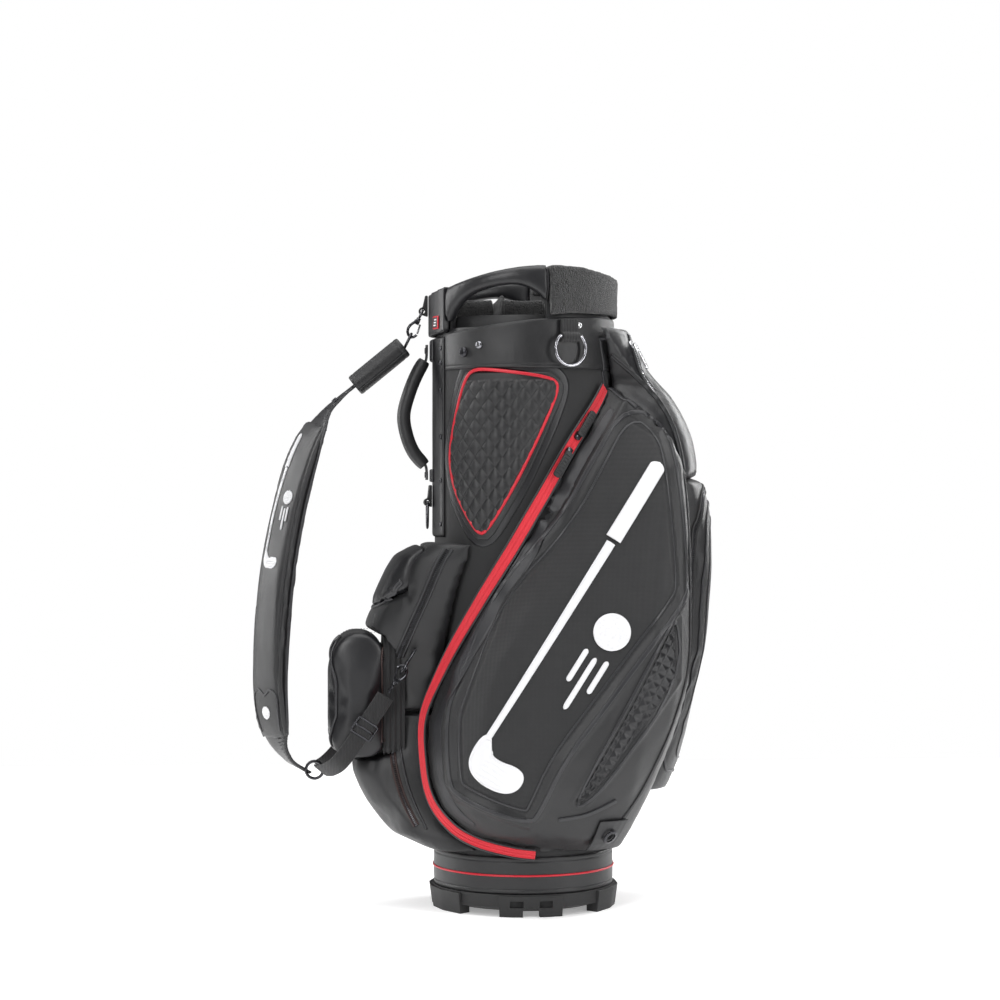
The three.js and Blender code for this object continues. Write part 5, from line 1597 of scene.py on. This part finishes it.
for level in ("upper", "lower"):
    node = "puller_near_" + level
    place = axes_of(node)[0]
    ribs = puller_ribs(node, "puller_ribs_near_" + level, level + "_puller", Vector((place.x, place.y, 0)),
                       PLASTIC,
                       "plastic")
    mirrored(ribs, "puller_ribs_far_" + level)
    for part, material in (("puller", PLASTIC), ("slider", BLACK_METAL)):
        copy = copy_of("%s_near_%s" % (part, level), "%s_far_%s" % (part, level))
        copy.data.transform(Matrix.Diagonal((1, -1, 1, 1)))
        copy.data.flip_normals()
        modify(copy, "WELD", merge_threshold=1e-5)
        modify(copy, "BEVEL", width=0.3 * MM, segments=2, angle_limit=35 * DEG)
        dress(copy, material, "plastic" if part == "puller" else "black_metal", smooth=False)
puller_ribs("puller_side", "puller_ribs_side", "side_puller", Vector((0.7, -0.3, 0.5)), BRIGHT_METAL,
            "gunmetal",
            count=5)

# White motif on the shoulder pad, and a small patch at its foot
PAD_LENGTH = 470.0
MOTIF_START = 0.4536               # the motif's foot, as a share of the pad's length
MOTIF_SHIFT = 16.0


def on_pad_face(a, b):
    """The motif's plane on the shoulder pad."""
    return on_pad(MOTIF_START - b / PAD_LENGTH, MOTIF_SHIFT - a)


club_and_ball("strap_motif", on_pad_face, 0.4, body="strap", thick=1.2)
spots, normals = pad_line([(0.972, -25), (0.87, -27), (0.845, -14), (0.86, 0), (0.845, 14), (0.87, 27),
                           (0.972, 25)],
                          160)
band_mesh("strap_patch_edge", spots, normals, 3.4 * MM, 1.2 * MM, EDGE_LEATHER_PAINTED_HIGHLIGHT, "leather", body="strap",
          lift=0.1 * MM)
dome_on(lambda a, b: on_pad(0.915 - b / PAD_LENGTH, a), "strap_patch_ball", (0, 0), lambda turn: 9.0,
        lambda share, a, b: 1.9 * math.sqrt(max(0.0, 1 - 0.8 * share ** 2))
        - 0.35 * abs(math.sin(a * 1.4) * math.sin(b * 1.4)), spokes=48, rings=20, body="strap")


# ------------------------------------------------------------------ floor and light
def soft_light(name, place, look_at, size, power):
    """A rectangular area light."""
    data = bpy.data.lights.new(name, "AREA")
    data.shape = "RECTANGLE"
    data.size, data.size_y = size
    data.energy = power
    lamp = bpy.data.objects.new(name, data)
    lamp.location = place
    lamp.rotation_euler = (Vector(look_at) - Vector(place)).to_track_quat("-Z", "Y").to_euler()
    bpy.context.scene.collection.objects.link(lamp)


FLOOR_HALF = 1.8
FLOOR_GLOW = 0.3
AMBIENT = 0.24                     # strength of the surroundings' light on the bag
floor_mesh = bpy.data.meshes.new("floor")
floor_mesh.from_pydata([(-FLOOR_HALF, -FLOOR_HALF, 0), (FLOOR_HALF, -FLOOR_HALF, 0),
                        (FLOOR_HALF, FLOOR_HALF, 0),
                        (-FLOOR_HALF, FLOOR_HALF, 0)], [], [(0, 1, 2, 3)])
floor = bpy.data.objects.new("floor", floor_mesh)
bpy.context.scene.collection.objects.link(floor)
floor_paint = bpy.data.materials.new("floor_paint")
floor_paint.use_nodes = True
floor_shader = floor_paint.node_tree.nodes["Principled BSDF"]
floor_shader.inputs["Base Color"].default_value = (0.95, 0.95, 0.95, 1)
floor_shader.inputs["Roughness"].default_value = 0.9
floor_shader.inputs["Emission Color"].default_value = (1, 1, 1, 1)
floor_shader.inputs["Emission Strength"].default_value = FLOOR_GLOW
floor_mesh.materials.append(floor_paint)

world = bpy.data.worlds.new("studio")
world.use_nodes = True
world_nodes, world_links = world.node_tree.nodes, world.node_tree.links
seen = world_nodes["Background"]
seen.inputs["Strength"].default_value = 1.0
seen.inputs["Color"].default_value = (1, 1, 1, 1)
lit = world_nodes.new("ShaderNodeBackground")
lit.inputs["Strength"].default_value = AMBIENT
rays = world_nodes.new("ShaderNodeLightPath")
choice = world_nodes.new("ShaderNodeMixShader")
world_links.new(rays.outputs["Is Camera Ray"], choice.inputs["Fac"])
world_links.new(lit.outputs["Background"], choice.inputs[1])
world_links.new(seen.outputs["Background"], choice.inputs[2])
world_links.new(choice.outputs["Shader"], world_nodes["World Output"].inputs["Surface"])
bpy.context.scene.world = world
bpy.context.scene.view_settings.view_transform = "Standard"
AIM = (0.0, 0.0, 0.45)
soft_light("overhead", (0.0, -0.4, 3.2), (0, -0.2, 0), (3.4, 3.4), 105)
soft_light("key", (-1.7, -2.6, 1.7), AIM, (0.7, 1.6), 46)
soft_light("fill", (2.3, -1.7, 1.2), AIM, (0.5, 1.8), 34)
soft_light("rim_left", (-2.4, 0.9, 1.2), AIM, (0.5, 2.0), 40)
soft_light("rim_right", (2.0, 1.6, 1.5), AIM, (0.5, 2.0), 40)
